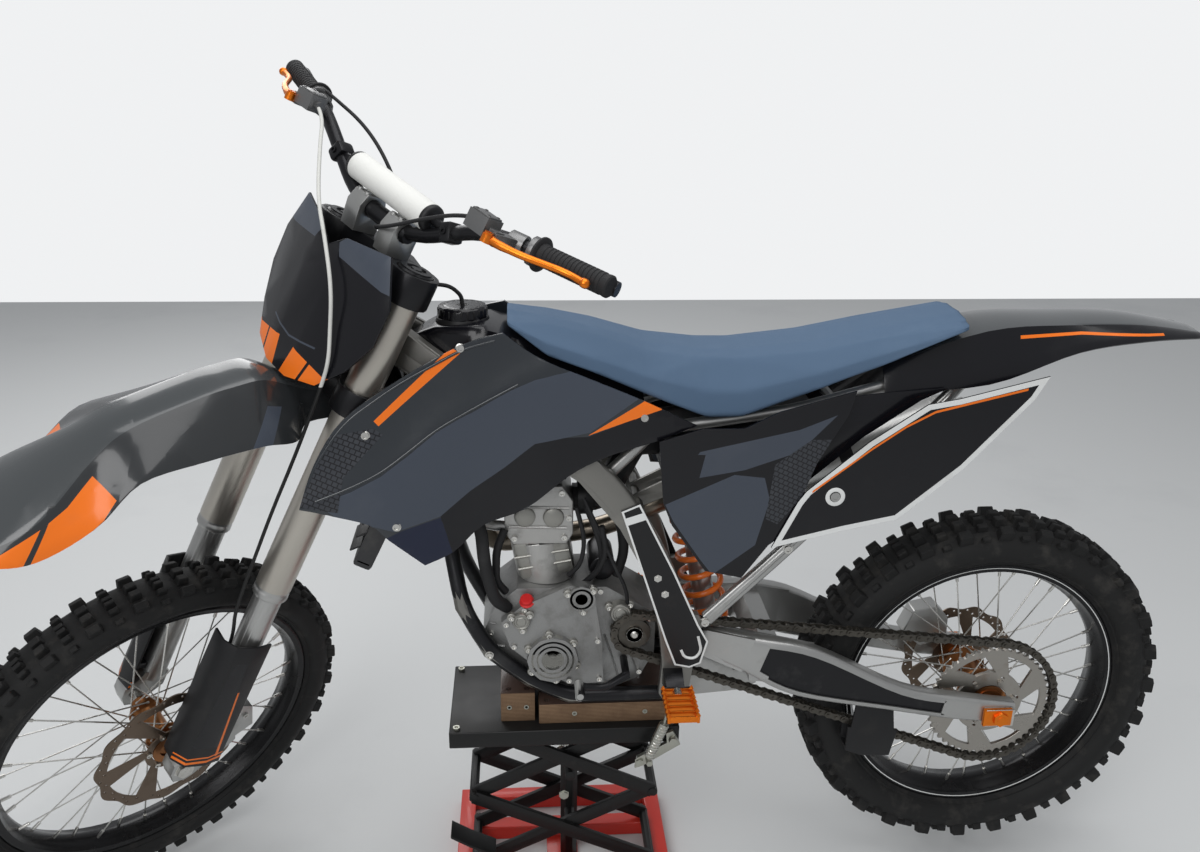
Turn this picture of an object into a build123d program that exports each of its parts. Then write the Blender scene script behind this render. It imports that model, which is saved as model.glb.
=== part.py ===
"""Motocross bike, held up by a small scissor lift under its cradle, with its front wheel turned left.

Row frame: X forward, Y to the rider's left, Z up, origin on the floor under the middle of the lift's base.
The bike is drawn from its rear axle's centre, the front end from the foot of the steering axis, and each
wheel from its own centre; every finished piece is then set in the row frame. All sizes are in millimetres.
"""
import os
from math import atan2, cos, hypot, pi as PI, radians, sin, tan

from build123d import *

os.makedirs("parts", exist_ok=True)

# Where the bike stands and how its axles and its steering axis lie
REAR_AXLE_X = -772
REAR_AXLE_Z = 385
WHEELBASE = 1508
FRONT_AXLE_DROP = 17
RAKE = radians(26.1)
FORK_OFFSET = 54.6
STEER = radians(43.4)

# Clearances
SEAT_GAP = 0.3
RUNNING_GAP = 0.06

# Wheels: pitches round each tyre, axle radii and the sizes from tyre to hub
PITCHES = 36
FRONT_TIP_R = 345
FRONT_KNOB = 12
FRONT_RIM_R = 279
FRONT_AXLE_R = 10
REAR_TIP_R = 338
REAR_KNOB = 15
REAR_RIM_R = 254
RIM_EDGE = 13
RIM_DROP = 10
REAR_AXLE_R = 12.5
SPOKES = 36
SPOKE_WIDTH = 3.4
SPOKE_SWEEP = 68
FRONT_DISC_R = 130
REAR_DISC_R = 110
DISC_THICK = 3
FRONT_DISC_Y = 60
REAR_DISC_Y = 72

# Chain drive
CHAIN_PITCH = 15.875
CHAIN_Y = 78
CHAIN_HEIGHT = 14
CHAIN_WIDTH = 15
PIN_WIDTH = 21
REAR_TEETH = 48
FRONT_TEETH = 14
OUTPUT_X = 652
OUTPUT_Z = 162
SHAFT_R = 14

# Fork, steering head and bars, heights measured along the steering axis
LEG_Y = 98
LEG_AHEAD = 27
TUBE_R = 29.5
LEG_R = 24
LEG_SIDES = 16
TUBE_FOOT = 360
TUBE_TOP = 962
LOWER_CLAMP = 712
LOWER_CLAMP_H = 42
UPPER_CLAMP = 908
UPPER_CLAMP_H = 49
CLAMP_WALL = 9
STEM_R = 14
HEAD_R = 28
HEAD_BORE_R = 20
HEAD_FOOT = 762
HEAD_TOP = 902
BEARING = 15
MOUNT_Y = 45
BAR_AHEAD = 40
BAR_HEIGHT = 997
BAR_R = 11
BAR_SLEEVE_R = 14
GRIP_R = 16

# Frame tubes
SPAR_Y = 104
SPAR_WIDTH = 24
SPAR_HEIGHT = 46
CRADLE_Y = 78
CRADLE_R = 13
CRADLE_Z = 38
DOWN_TUBE_R = 20
PIVOT_X = 576
PIVOT_Z = 155
PIVOT_R = 9
RAIL_R = 10
RAIL_Y = 88

# Radiators
RADIATOR_WIDTH = 90
RADIATOR_Y = 96

# Swingarm
ARM_WIDTH = 30
ARM_Y = 107

# Exhaust
PIPE_R = 18
PIPE_Y = 72
SILENCER_R = 46
SILENCER_Y = 154

# Lift
DECK_TOP = 370
DECK_LENGTH = 405
DECK_WIDTH = 210
DECK_SKIRT = 32
BASE_LENGTH = 406
BASE_WIDTH = 330
BASE_TUBE = 30
SCISSOR_Y = 62

FLOOR = Location()
BIKE = Location((REAR_AXLE_X, 0, REAR_AXLE_Z))
STEER_X = WHEELBASE - FORK_OFFSET * cos(RAKE)
STEER_Z = -FRONT_AXLE_DROP - FORK_OFFSET * sin(RAKE)
FRONT = BIKE * Location(
    Plane(
        origin=(STEER_X, 0, STEER_Z),
        x_dir=(cos(RAKE) * cos(STEER), sin(STEER), sin(RAKE) * cos(STEER)),
        z_dir=(-sin(RAKE), 0, cos(RAKE)),
    )
)
# A wheel is drawn with its axle along Z; this sets that axle pointing left
ON_ITS_EDGE = Location(Plane(origin=(0, 0, 0), x_dir=(1, 0, 0), z_dir=(0, 1, 0)))
REAR_WHEEL = BIKE * ON_ITS_EDGE
FRONT_WHEEL = FRONT * Location((FORK_OFFSET, 0, 0)) * ON_ITS_EDGE


def keep(piece, name, place):
    """Set a finished piece from its own frame into the row frame, name it and write it."""
    moved = piece.part.moved(place)
    moved.label = name
    export_step(moved, f"parts/{name}.step")


def side(y):
    """A plane seen from the right, with x forward and y up, at this distance left of the middle."""
    return Plane.XZ.offset(-y)


def outline(plane, points):
    """A closed straight-edged face on a plane."""
    with BuildSketch(plane) as profile:
        with BuildLine():
            Polyline(*points, close=True)
        make_face()
    return profile.sketch


def plate(points, y, thickness):
    """Add a plate with this side outline, from y towards the right."""
    extrude(outline(side(y), points), amount=thickness)


# A corner that is more open than this stays as it is
SLIGHT_BEND = radians(152)
# Two lengths this close count as the same
EQUAL = 1e-6


def facets(sections):
    """Add a solid through sections, with flat faces between their like-numbered corners, split the shorter way."""
    faces = [Face(Wire.make_polygon(sections[0])), Face(Wire.make_polygon(sections[-1]))]
    for near, far in zip(sections, sections[1:]):
        for j, corner in enumerate(near):
            k = (j + 1) % len(near)
            if (corner - far[k]).length < (near[k] - far[j]).length + EQUAL:
                halves = ([corner, near[k], far[k]], [corner, far[k], far[j]])
            else:
                halves = ([corner, near[k], far[j]], [near[k], far[k], far[j]])
            faces.extend(Face(Wire.make_polygon(half)) for half in halves)
    add(Solid(Shell(faces)))


def rounded(points, bend):
    """The points of a route whose sharp corners are cut in two steps, as far back as an arc of radius bend reaches."""
    route = [Vector(*point) for point in points]
    cut = [route[0]]
    for i in range(1, len(route) - 1):
        back = (route[i - 1] - route[i]).normalized()
        ahead = (route[i + 1] - route[i]).normalized()
        half = radians(back.get_angle(ahead)) / 2
        if half > SLIGHT_BEND / 2:
            cut.append(route[i])
            continue
        radius = bend[i - 1] if isinstance(bend, list) else bend
        reach = radius / tan(half)
        depth = radius / sin(half) - radius
        cut.append(route[i] + back * reach)
        cut.append(route[i] + (back + ahead).normalized() * depth)
        cut.append(route[i] + ahead * reach)
    return cut + [route[-1]]


def tube(points, radius, bend, sides=8):
    """Add a many-sided bar along a route whose corners are eased to the radius bend."""
    route = rounded(points, bend)
    across = Vector(0, 1, 0) if abs((route[1] - route[0]).normalized().Y) < 0.7 else Vector(1, 0, 0)
    sections = []
    for i, spot in enumerate(route):
        first = (spot - route[i - 1]).normalized() if i > 0 else Vector(0, 0, 0)
        last = (route[i + 1] - spot).normalized() if i < len(route) - 1 else Vector(0, 0, 0)
        run = (first + last).normalized()
        across = (across - run * across.dot(run)).normalized()
        over = run.cross(across)
        ring = []
        for k in range(sides):
            turn = 2 * PI * (k + 0.5) / sides
            ring.append(spot + across * (radius * cos(turn)) + over * (radius * sin(turn)))
        sections.append(ring)
    facets(sections)


def beam(stations):
    """Add a straight-sided bar through stations: (point, width across, height), square to its run."""
    spots = [Vector(*point) for point, _, _ in stations]
    sections = []
    for i, (_, width, height) in enumerate(stations):
        run = (spots[min(i + 1, len(spots) - 1)] - spots[max(i - 1, 0)]).normalized()
        across = Vector(0, 0, 1).cross(run).normalized() * (width / 2)
        over = run.cross(across).normalized() * (height / 2)
        sections.append([spots[i] + across + over, spots[i] - across + over,
                         spots[i] - across - over, spots[i] + across - over])
    facets(sections)


def both_sides(points):
    """The same route on the left and on the right."""
    return points, [(x, -y, z) for x, y, z in points]


def cylinder_y(x, z, radius, left, right, sides=12):
    """Add a many-sided boss whose axis lies across the bike, from its left face to its right face."""
    with BuildSketch(side(left)) as section:
        with Locations((x, z)):
            RegularPolygon(radius, sides)
    extrude(section.sketch, amount=left - right)


# Wheels, each drawn round its own Z axis

def ring_face(radius, z):
    """A many-sided face across the axle, with a flat under each knob."""
    with BuildSketch(Plane.XY.offset(z)) as ring:
        RegularPolygon(radius, PITCHES, major_radius=False)
    return ring.sketch


def tyre(tip_r, knob, rim_r, shape, bead, centre_block, shoulder_block):
    """A knobbly tyre: a many-sided carcass with a row of centre blocks and paired shoulder blocks.

    shape lists (distance from the middle plane, radius) from the middle out to the widest point, and bead
    is the same where the side meets the rim.
    centre_block and shoulder_block are (width across, length round); the second adds its middle's place.
    """
    carcass_r = tip_r - knob
    half_width, wall_r = shape[-1]
    bead_z, bead_r = bead
    step = (wall_r - bead_r) / (half_width - bead_z)
    with BuildPart() as piece:
        levels = [(-z, r) for z, r in reversed(shape)] + shape
        loft([ring_face(r, z) for z, r in levels], ruled=True)
        for up in (1, -1):
            ends = [ring_face(bead_r, up * bead_z), ring_face(wall_r + step, up * (half_width + 1))]
            loft(ends, ruled=True, mode=Mode.SUBTRACT)
        extrude(ring_face(rim_r + SEAT_GAP, -half_width), amount=2 * half_width, mode=Mode.SUBTRACT)
        flat = 180 / PITCHES
        across, around = centre_block
        with PolarLocations(carcass_r + knob / 2 - 1, PITCHES, start_angle=flat):
            Box(knob + 2, around, across)
        across, around, place = shoulder_block
        drop = knob + 6
        with PolarLocations(tip_r - drop / 2 - 2, PITCHES // 2, start_angle=flat):
            with Locations((0, 0, place), (0, 0, -place)):
                Box(drop, around, across)
    return piece


def rim(rim_r, half_width):
    """A rim whose inner face comes to a low ridge, where the spokes enter."""
    edge_r = rim_r - RIM_EDGE
    with BuildPart() as piece:
        extrude(ring_face(rim_r, -half_width), amount=2 * half_width)
        for z in (half_width, -half_width):
            loft([ring_face(edge_r, z), ring_face(edge_r - RIM_DROP, 0)], ruled=True, mode=Mode.SUBTRACT)
    return piece


def spokes(rim_in_r, rim_half, flange_r, flange_z, flange_thick, stand_off):
    """Thin square bars, half from each hub flange, leading and trailing by turns, up to the rim's ridge."""
    hole_r = flange_r - 5
    ridge_slope = RIM_DROP / rim_half
    outside = flange_thick / 2 + SPOKE_WIDTH / 2 + stand_off
    inside = flange_thick / 2 + SPOKE_WIDTH / 2 + SEAT_GAP
    bars = []
    with BuildPart() as piece:
        for k in range(SPOKES):
            rim_turn = radians((k + 0.5) * 360 / SPOKES)
            up = 1 if k % 2 == 0 else -1
            lead = 1 if (k // 2) % 2 == 0 else -1
            hub_turn = rim_turn + lead * radians(SPOKE_SWEEP)
            hub_z = up * (flange_z + (outside if lead > 0 else -inside))
            rim_z = up * (7 if lead > 0 else 3)
            start = Vector(hole_r * cos(hub_turn), hole_r * sin(hub_turn), hub_z)
            reach = rim_in_r + ridge_slope * (abs(rim_z) - SPOKE_WIDTH) - SEAT_GAP
            end = Vector(reach * cos(rim_turn), reach * sin(rim_turn), rim_z)
            with BuildSketch(Plane(origin=start, x_dir=Vector(0, 0, 1), z_dir=end - start)) as section:
                Rectangle(SPOKE_WIDTH, SPOKE_WIDTH)
            bars.append(extrude(section.sketch, amount=(end - start).length, mode=Mode.PRIVATE))
        add(bars)
    return piece


def hub(axle_r, steps):
    """A hub turned in steps, each (from, to, radius) along its axle, with the axle's bore through them."""
    low = min(start for start, _, _ in steps)
    high = max(end for _, end, _ in steps)
    with BuildPart() as piece:
        for start, end, radius in steps:
            with BuildSketch(Plane.XY.offset(start)):
                RegularPolygon(radius, HUB_SIDES)
            extrude(amount=end - start)
        with BuildSketch(Plane.XY.offset(low)):
            RegularPolygon(axle_r + RUNNING_GAP, 2 * HUB_SIDES, major_radius=False)
        extrude(amount=high - low, mode=Mode.SUBTRACT)
    return piece


def disc(radius, waves, band, carrier_r, place_z):
    """A wavy brake disc: a scalloped band carried by short arms from a ring on the hub."""
    with BuildPart() as piece:
        points = []
        for k in range(2 * waves):
            r = radius if k % 2 == 0 else radius * 0.95
            points.append((r * cos(radians(180 * k / waves)), r * sin(radians(180 * k / waves))))
        extrude(outline(Plane.XY.offset(place_z - DISC_THICK / 2), points), amount=DISC_THICK)
        window_in = carrier_r + 8
        window_out = radius - band
        with BuildSketch(Plane.XY.offset(place_z - DISC_THICK / 2)):
            with PolarLocations((window_in + window_out) / 2, 6):
                Rectangle(window_out - window_in, window_in * 0.75)
            RegularPolygon(carrier_r - 8, HUB_SIDES)
        extrude(amount=DISC_THICK, mode=Mode.SUBTRACT)
    return piece


# Tyre halves: distance from the middle plane, radius
FRONT_SHAPE = [(24, 333), (36, 322), (43, 303)]
FRONT_BEAD = (31, FRONT_RIM_R + 3)
REAR_SHAPE = [(34, 323), (50, 308), (57, 285)]
REAR_BEAD = (40, REAR_RIM_R + 4)
FRONT_RIM_HALF = 27
REAR_RIM_HALF = 36
# Spoke flanges: radius, distance from the middle, thickness, how far off the outer spokes start
FRONT_FLANGE = (31, 34, 5, 2.2)
REAR_FLANGE = (40, 36, 6, 2.8)
CARRIER_GAP = 0.4
HUB_SIDES = 12
FRONT_CARRIER_R = 40
REAR_CARRIER_R = 44
SPROCKET_BORE_R = 34
# Hub steps: from, to, radius; barrel, the two spoke flanges, then the seats of disc and sprocket
FRONT_HUB_STEPS = [
    (-56, 58, 19),
    (-36.5, -31.5, FRONT_FLANGE[0]),
    (31.5, 36.5, FRONT_FLANGE[0]),
    (FRONT_DISC_Y - 6, FRONT_DISC_Y + 2, FRONT_CARRIER_R - 8 - CARRIER_GAP),
]
REAR_HUB_STEPS = [
    (-REAR_DISC_Y - 6, CHAIN_Y + 6, 26),
    (-39, -33, REAR_FLANGE[0]),
    (33, 39, REAR_FLANGE[0]),
    (-REAR_DISC_Y - 4, -REAR_DISC_Y + 4, REAR_CARRIER_R - 8 - CARRIER_GAP),
    (CHAIN_Y - 5, CHAIN_Y + 4, SPROCKET_BORE_R - CARRIER_GAP),
]

front_tyre = tyre(FRONT_TIP_R, FRONT_KNOB, FRONT_RIM_R, FRONT_SHAPE, FRONT_BEAD, (34, 22), (20, 26, 31))
rear_tyre = tyre(REAR_TIP_R, REAR_KNOB, REAR_RIM_R, REAR_SHAPE, REAR_BEAD, (48, 24), (26, 28, 44))
front_rim = rim(FRONT_RIM_R, FRONT_RIM_HALF)
rear_rim = rim(REAR_RIM_R, REAR_RIM_HALF)
front_spokes = spokes(FRONT_RIM_R - RIM_EDGE - RIM_DROP, FRONT_RIM_HALF, *FRONT_FLANGE)
rear_spokes = spokes(REAR_RIM_R - RIM_EDGE - RIM_DROP, REAR_RIM_HALF, *REAR_FLANGE)
front_hub = hub(FRONT_AXLE_R, FRONT_HUB_STEPS)
rear_hub = hub(REAR_AXLE_R, REAR_HUB_STEPS)
front_disc = disc(FRONT_DISC_R, 12, 24, FRONT_CARRIER_R, FRONT_DISC_Y)
rear_disc = disc(REAR_DISC_R, 12, 24, REAR_CARRIER_R, -REAR_DISC_Y)

# Rear sprocket: pointed teeth, a bolt ring and an inner edge on the hub
SPROCKET_ROOT_R = CHAIN_PITCH / 2 / sin(radians(180 / REAR_TEETH)) - CHAIN_HEIGHT / 2 - SEAT_GAP
SPROCKET_THICK = 7
with BuildPart() as rear_sprocket:
    tooth_tips = []
    for k in range(2 * REAR_TEETH):
        r = SPROCKET_ROOT_R if k % 2 == 0 else SPROCKET_ROOT_R - 6
        tooth_tips.append((r * cos(radians(180 * k / REAR_TEETH)), r * sin(radians(180 * k / REAR_TEETH))))
    extrude(outline(Plane.XY.offset(CHAIN_Y - SPROCKET_THICK / 2), tooth_tips), amount=SPROCKET_THICK)
    with BuildSketch(Plane.XY.offset(CHAIN_Y - SPROCKET_THICK / 2)):
        with PolarLocations(SPROCKET_ROOT_R * 0.68, 6):
            RegularPolygon(SPROCKET_ROOT_R * 0.2, 6)
        RegularPolygon(SPROCKET_BORE_R, HUB_SIDES)
    extrude(amount=SPROCKET_THICK, mode=Mode.SUBTRACT)

keep(front_tyre, "front_tyre", FRONT_WHEEL)
keep(front_rim, "front_rim", FRONT_WHEEL)
keep(front_spokes, "front_spokes", FRONT_WHEEL)
keep(front_hub, "front_hub", FRONT_WHEEL)
keep(front_disc, "front_disc", FRONT_WHEEL)
keep(rear_tyre, "rear_tyre", REAR_WHEEL)
keep(rear_rim, "rear_rim", REAR_WHEEL)
keep(rear_spokes, "rear_spokes", REAR_WHEEL)
keep(rear_hub, "rear_hub", REAR_WHEEL)
keep(rear_disc, "rear_disc", REAR_WHEEL)
keep(rear_sprocket, "rear_sprocket", REAR_WHEEL)

# Chain: one closed loop from sprocket to sprocket, its pins standing proud at every second pitch
REAR_PITCH_R = CHAIN_PITCH / 2 / sin(radians(180 / REAR_TEETH))
FRONT_PITCH_R = CHAIN_PITCH / 2 / sin(radians(180 / FRONT_TEETH))
CENTRES = hypot(OUTPUT_X, OUTPUT_Z)
CLIMB = atan2(OUTPUT_Z, OUTPUT_X)
SPREAD = radians(90) - atan2(REAR_PITCH_R - FRONT_PITCH_R, CENTRES)
CHAIN_STEP = 3


CHAIN_ARC_STEP = radians(10)


def chain_loop(change):
    """Corners of the loop at a distance outside (+) or inside (-) its pitch line, in steps round both sprockets."""
    corners = []
    low = CLIMB - SPREAD
    high = CLIMB + SPREAD
    for x, z, r, start, end in (
        (OUTPUT_X, OUTPUT_Z, FRONT_PITCH_R + change, low, high),
        (0, 0, REAR_PITCH_R + change, high, low + 2 * PI),
    ):
        steps = round((end - start) / CHAIN_ARC_STEP)
        spread_r = r / cos((end - start) / steps / 2)
        corners.append((x + r * cos(start), z + r * sin(start)))
        for k in range(steps):
            turn = start + (k + 0.5) * (end - start) / steps
            corners.append((x + spread_r * cos(turn), z + spread_r * sin(turn)))
        corners.append((x + r * cos(end), z + r * sin(end)))
    return corners


def loop_spot(distance):
    """Point and direction on the pitch line, this far round from where the lower run leaves the rear sprocket."""
    run = CENTRES * sin(SPREAD)
    front_arc = FRONT_PITCH_R * 2 * SPREAD
    low = CLIMB - SPREAD
    high = CLIMB + SPREAD
    heading = low + radians(90)
    if distance < run:
        start = Vector(REAR_PITCH_R * cos(low), REAR_PITCH_R * sin(low))
        return start + Vector(cos(heading), sin(heading)) * distance, heading
    distance -= run
    if distance < front_arc:
        turn = low + distance / FRONT_PITCH_R
        spot = Vector(OUTPUT_X + FRONT_PITCH_R * cos(turn), OUTPUT_Z + FRONT_PITCH_R * sin(turn))
        return spot, turn + radians(90)
    distance -= front_arc
    heading = high + radians(90)
    if distance < run:
        start = Vector(OUTPUT_X + FRONT_PITCH_R * cos(high), OUTPUT_Z + FRONT_PITCH_R * sin(high))
        return start + Vector(cos(heading), sin(heading)) * distance, heading
    turn = high + (distance - run) / REAR_PITCH_R
    return Vector(REAR_PITCH_R * cos(turn), REAR_PITCH_R * sin(turn)), turn + radians(90)


LOOP_LENGTH = 2 * CENTRES * sin(SPREAD) + FRONT_PITCH_R * 2 * SPREAD
LOOP_LENGTH += REAR_PITCH_R * (2 * radians(180) - 2 * SPREAD)
LINKS = int(LOOP_LENGTH / (CHAIN_STEP * CHAIN_PITCH))
with BuildPart() as chain:
    left_face = side(CHAIN_Y + CHAIN_WIDTH / 2)
    extrude(outline(left_face, chain_loop(CHAIN_HEIGHT / 2)), amount=CHAIN_WIDTH)
    extrude(outline(left_face, chain_loop(-CHAIN_HEIGHT / 2)), amount=CHAIN_WIDTH, mode=Mode.SUBTRACT)
    outer_links = []
    for k in range(LINKS):
        spot, heading = loop_spot(k * LOOP_LENGTH / LINKS)
        place = Plane(
            origin=(spot.X, CHAIN_Y, spot.Y), x_dir=(cos(heading), 0, sin(heading)), z_dir=(0, -1, 0)
        )
        with BuildSketch(place.offset(-PIN_WIDTH / 2)) as link:
            Rectangle(CHAIN_PITCH, CHAIN_HEIGHT - 3)
        outer_links.append(extrude(link.sketch, amount=PIN_WIDTH, mode=Mode.PRIVATE))
    add(outer_links)
keep(chain, "chain", BIKE)

# Frame: steering head, down tube, two spars, pivot plates and the cradle under the engine


def on_steering_axis(along, ahead=0):
    """The point of the steering axis at this height along it, in the bike's frame."""
    return (
        STEER_X - along * sin(RAKE) + ahead * cos(RAKE),
        0,
        STEER_Z + along * cos(RAKE) + ahead * sin(RAKE),
    )


HEAD_PLANE = Plane(origin=on_steering_axis(HEAD_FOOT), x_dir=(cos(RAKE), 0, sin(RAKE)), z_dir=(-sin(RAKE), 0, cos(RAKE)))
SPAR_FOOT_X = 588
DOWN_TUBE_FOOT = (985, 0, 330)
# Spar: x, distance left, z, depth
SPAR_ROUTE = [
    (1082, 26, 706, 60),
    (1000, 54, 650, 56),
    (880, 94, 578, SPAR_HEIGHT),
    (735, SPAR_Y, 480, SPAR_HEIGHT),
    (665, SPAR_Y, 392, SPAR_HEIGHT),
    (612, SPAR_Y, 290, SPAR_HEIGHT),
    (SPAR_FOOT_X, SPAR_Y, 190, 52),
]
CRADLE_ROUTE = [
    (970, 24, 345), (945, CRADLE_Y, 222), (901, CRADLE_Y, 133), (833, CRADLE_Y, 75),
    (763, CRADLE_Y, CRADLE_Z), (575, CRADLE_Y, CRADLE_Z),
]
# Tubes across the frame: x, z, distance left, radius; behind the engine, over the shock, at the radiators
CROSS_TUBES = [(592, 228, SPAR_Y, 12), (650, 385, SPAR_Y, 12), (1034, 430, RADIATOR_Y - RADIATOR_WIDTH / 2 - SEAT_GAP, 7)]
SHOCK_EYE = 22
SHOCK_MOUNT = [(652, 374), (656, 398), (572, 441), (552, 440), (548, 420), (562, 412)]
PIVOT_PLATE = [(548, 214), (538, 196), (552, 170), (552, 120), (562, 30), (592, 30), (610, 60), (606, 120), (616, 214)]
with BuildPart() as frame:
    with BuildSketch(HEAD_PLANE):
        RegularPolygon(HEAD_R, LEG_SIDES)
    extrude(amount=HEAD_TOP - HEAD_FOOT)
    tube([on_steering_axis(835), DOWN_TUBE_FOOT], DOWN_TUBE_R, 0)
    for sign in (1, -1):
        beam([((x, sign * y, z), SPAR_WIDTH, depth) for x, y, z, depth in SPAR_ROUTE])
        tube([(x, sign * y, z) for x, y, z in CRADLE_ROUTE], CRADLE_R, 30)
        plate(PIVOT_PLATE, sign * SPAR_Y + 8, 16)
        beam([((575, sign * CRADLE_Y, CRADLE_Z), 24, 24), ((575, sign * SPAR_Y, CRADLE_Z + 8), 16, 24)])
    beam([((968, 30, 350), 30, 30), ((968, -30, 350), 30, 30)])
    for x, z, reach, radius in CROSS_TUBES:
        tube([(x, reach, z), (x, -reach, z)], radius, 0)
    for sign in (1, -1):
        plate(SHOCK_MOUNT, sign * (SHOCK_EYE + SEAT_GAP + 3) + 3, 6)
    with BuildSketch(HEAD_PLANE.offset(-5)):
        RegularPolygon(HEAD_BORE_R, LEG_SIDES, major_radius=False)
    extrude(amount=HEAD_TOP - HEAD_FOOT + 10, mode=Mode.SUBTRACT)
    with BuildSketch(side(SPAR_Y + 20)):
        with Locations((PIVOT_X, PIVOT_Z)):
            RegularPolygon(PIVOT_R + SEAT_GAP, 12, major_radius=False)
    extrude(amount=2 * SPAR_Y + 40, mode=Mode.SUBTRACT)
keep(frame, "frame", BIKE)

# Covers over the frame by the pivot, and the loop that carries the seat
GUARD = [(683, 412), (653, 425), (592, 300), (548, 200), (530, 167), (541, 124), (560, 116), (586, 122), (604, 170)]
GUARD_THICK = 4
with BuildPart() as frame_guards:
    for left in (SPAR_Y + SPAR_WIDTH / 2 + SEAT_GAP + GUARD_THICK, -SPAR_Y - SPAR_WIDTH / 2 - SEAT_GAP):
        plate(GUARD, left, GUARD_THICK)
keep(frame_guards, "frame_guards", BIKE)

STRUT = [(532, 103, 202), (381, RAIL_Y, 345), (150, 68, 582), (118, 58, 630)]
TOP_RAIL = [(712, 81.6, 452), (628, 81.6, 538), (493, 79, 556.3), (400, 76, 568), (108, 56, 640)]
with BuildPart() as subframe:
    for route in both_sides(STRUT) + both_sides(TOP_RAIL):
        tube(route, RAIL_R, 25)
    for x, y, z in ((340, 72, 583), (120, 56, 637)):
        tube([(x, y, z), (x, -y, z)], RAIL_R - 2, 0)
    for y in (40, -40):
        tube([(112, y, 636), (112, y, 680.1)], RAIL_R - 2, 0)
keep(subframe, "subframe", BIKE)

# Tank: widening down and back from the steering head, with its screwed cap
CAP_X = 933
CAP_R = 43
# Tank stations: x, half width at the top, half width at the bottom, top z, bottom z
TANK = [
    (1030, 22, 26, 672, 604),
    (975, 42, 47, 698, 560),
    (905, 68, 72, 706, 440),
    (840, 70, 80, 687, 446),
    (800, 66, 84, 658, 470),
    (740, 60, 88, 638, 515),
    (645, 56, 88, 598, 562),
]


# Rubber pads that hold the tank between the spars
TANK_PAD_X = 860
TANK_PAD_Z = 562
TANK_PAD_Y = 82.2


def cross_section(x, corners):
    """Corners across the bike at x through (left, z) corners of its left half, mirrored to the right."""
    return [Vector(x, y, z) for y, z in corners] + [Vector(x, -y, z) for y, z in reversed(corners)]


with BuildPart() as fuel_tank:
    facets([
        cross_section(x, [(low, bottom), (low, (top + bottom) / 2), (up, top)]) for x, up, low, top, bottom in TANK
    ])
    with BuildSketch(Plane.XY.offset(TANK[2][3] - 14)):
        with Locations((CAP_X, 0)):
            RegularPolygon(CAP_R, 16)
    extrude(amount=32, taper=8)
    cylinder_y(TANK_PAD_X, TANK_PAD_Z, 9, TANK_PAD_Y, -TANK_PAD_Y)
keep(fuel_tank, "fuel_tank", BIKE)

# Shrouds: curved side panels from the radiators back under the seat
SHROUD = [
    (1176, 455), (1140, 445), (1076, 421), (1048, 391), (996, 340), (950, 357), (904, 397), (837, 423),
    (771, 476), (746, 498), (632, 532), (567, 557), (650, 598), (727, 632), (819, 672), (868, 706),
    (927, 690), (1025, 640), (1108, 585), (1152, 521),
]
# Plan curve of a shroud: x, distance left low down, distance left at its top
SHROUD_BOW = [(560, 121, 113), (760, 129, 119), (880, 138, 122), (1000, 166, 136), (1100, 186, 160), (1190, 194, 176)]
SHROUD_THICK = 5
SHROUD_LOW = 330
SHROUD_HIGH = 720


def bowed_skin(bow, low, high, thickness):
    """A standing skin whose plan curve shifts from its foot to its top."""
    faces = []
    for column, z in ((1, low), (2, high)):
        near = [(row[0], row[column]) for row in bow]
        far = [(row[0], row[column] - thickness) for row in reversed(bow)]
        faces.append(outline(Plane.XY.offset(z), near + far))
    loft(faces, ruled=True)


with BuildPart() as shrouds:
    bowed_skin(SHROUD_BOW, SHROUD_LOW, SHROUD_HIGH, SHROUD_THICK)
    extrude(outline(side(250), SHROUD), amount=250, mode=Mode.INTERSECT)
    cylinder_y(1047, 470, 8, 162, RADIATOR_Y + RADIATOR_WIDTH / 2 + SEAT_GAP)
    mirror(about=Plane.XZ)
keep(shrouds, "shrouds", BIKE)

# Radiators behind the shrouds, leaning back with the steering head
RADIATOR_HEIGHT = 235
RADIATOR_THICK = 30
RADIATOR_BACK = -160
RADIATOR_UP = 610
radiator_plane = Plane(
    origin=on_steering_axis(RADIATOR_UP, RADIATOR_BACK),
    x_dir=(cos(RAKE), 0, sin(RAKE)),
    z_dir=(-sin(RAKE), 0, cos(RAKE)),
)
with BuildPart() as radiators:
    with BuildSketch(radiator_plane.offset(-RADIATOR_HEIGHT / 2)):
        with Locations((0, RADIATOR_Y), (0, -RADIATOR_Y)):
            Rectangle(RADIATOR_THICK, RADIATOR_WIDTH)
    extrude(amount=RADIATOR_HEIGHT)
keep(radiators, "radiators", BIKE)

# Seat: a long padded solid, narrow at the tank, broad over the rails. x, top half width, top z, low half width, low z
SEAT = [
    (862, 40, 716, 62, 706),
    (800, 52, 706, 92, 664),
    (727, 58, 690, 106, 640),
    (640, 62, 664, 108, 602),
    (550, 66, 653, 108, 566),
    (493, 68, 652, 108, 566),
    (374, 72, 664, 108, 612),
    (274, 72, 684, 102, 648),
    (131, 62, 712, 84, 700),
]
with BuildPart() as seat:
    facets([
        cross_section(x, [(low, low_z), (low - 4, (low_z + top_z) / 2), (top, top_z), (top / 2, top_z + 6)])
        for x, top, top_z, low, low_z in SEAT
    ])
keep(seat, "seat", BIKE)

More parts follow.
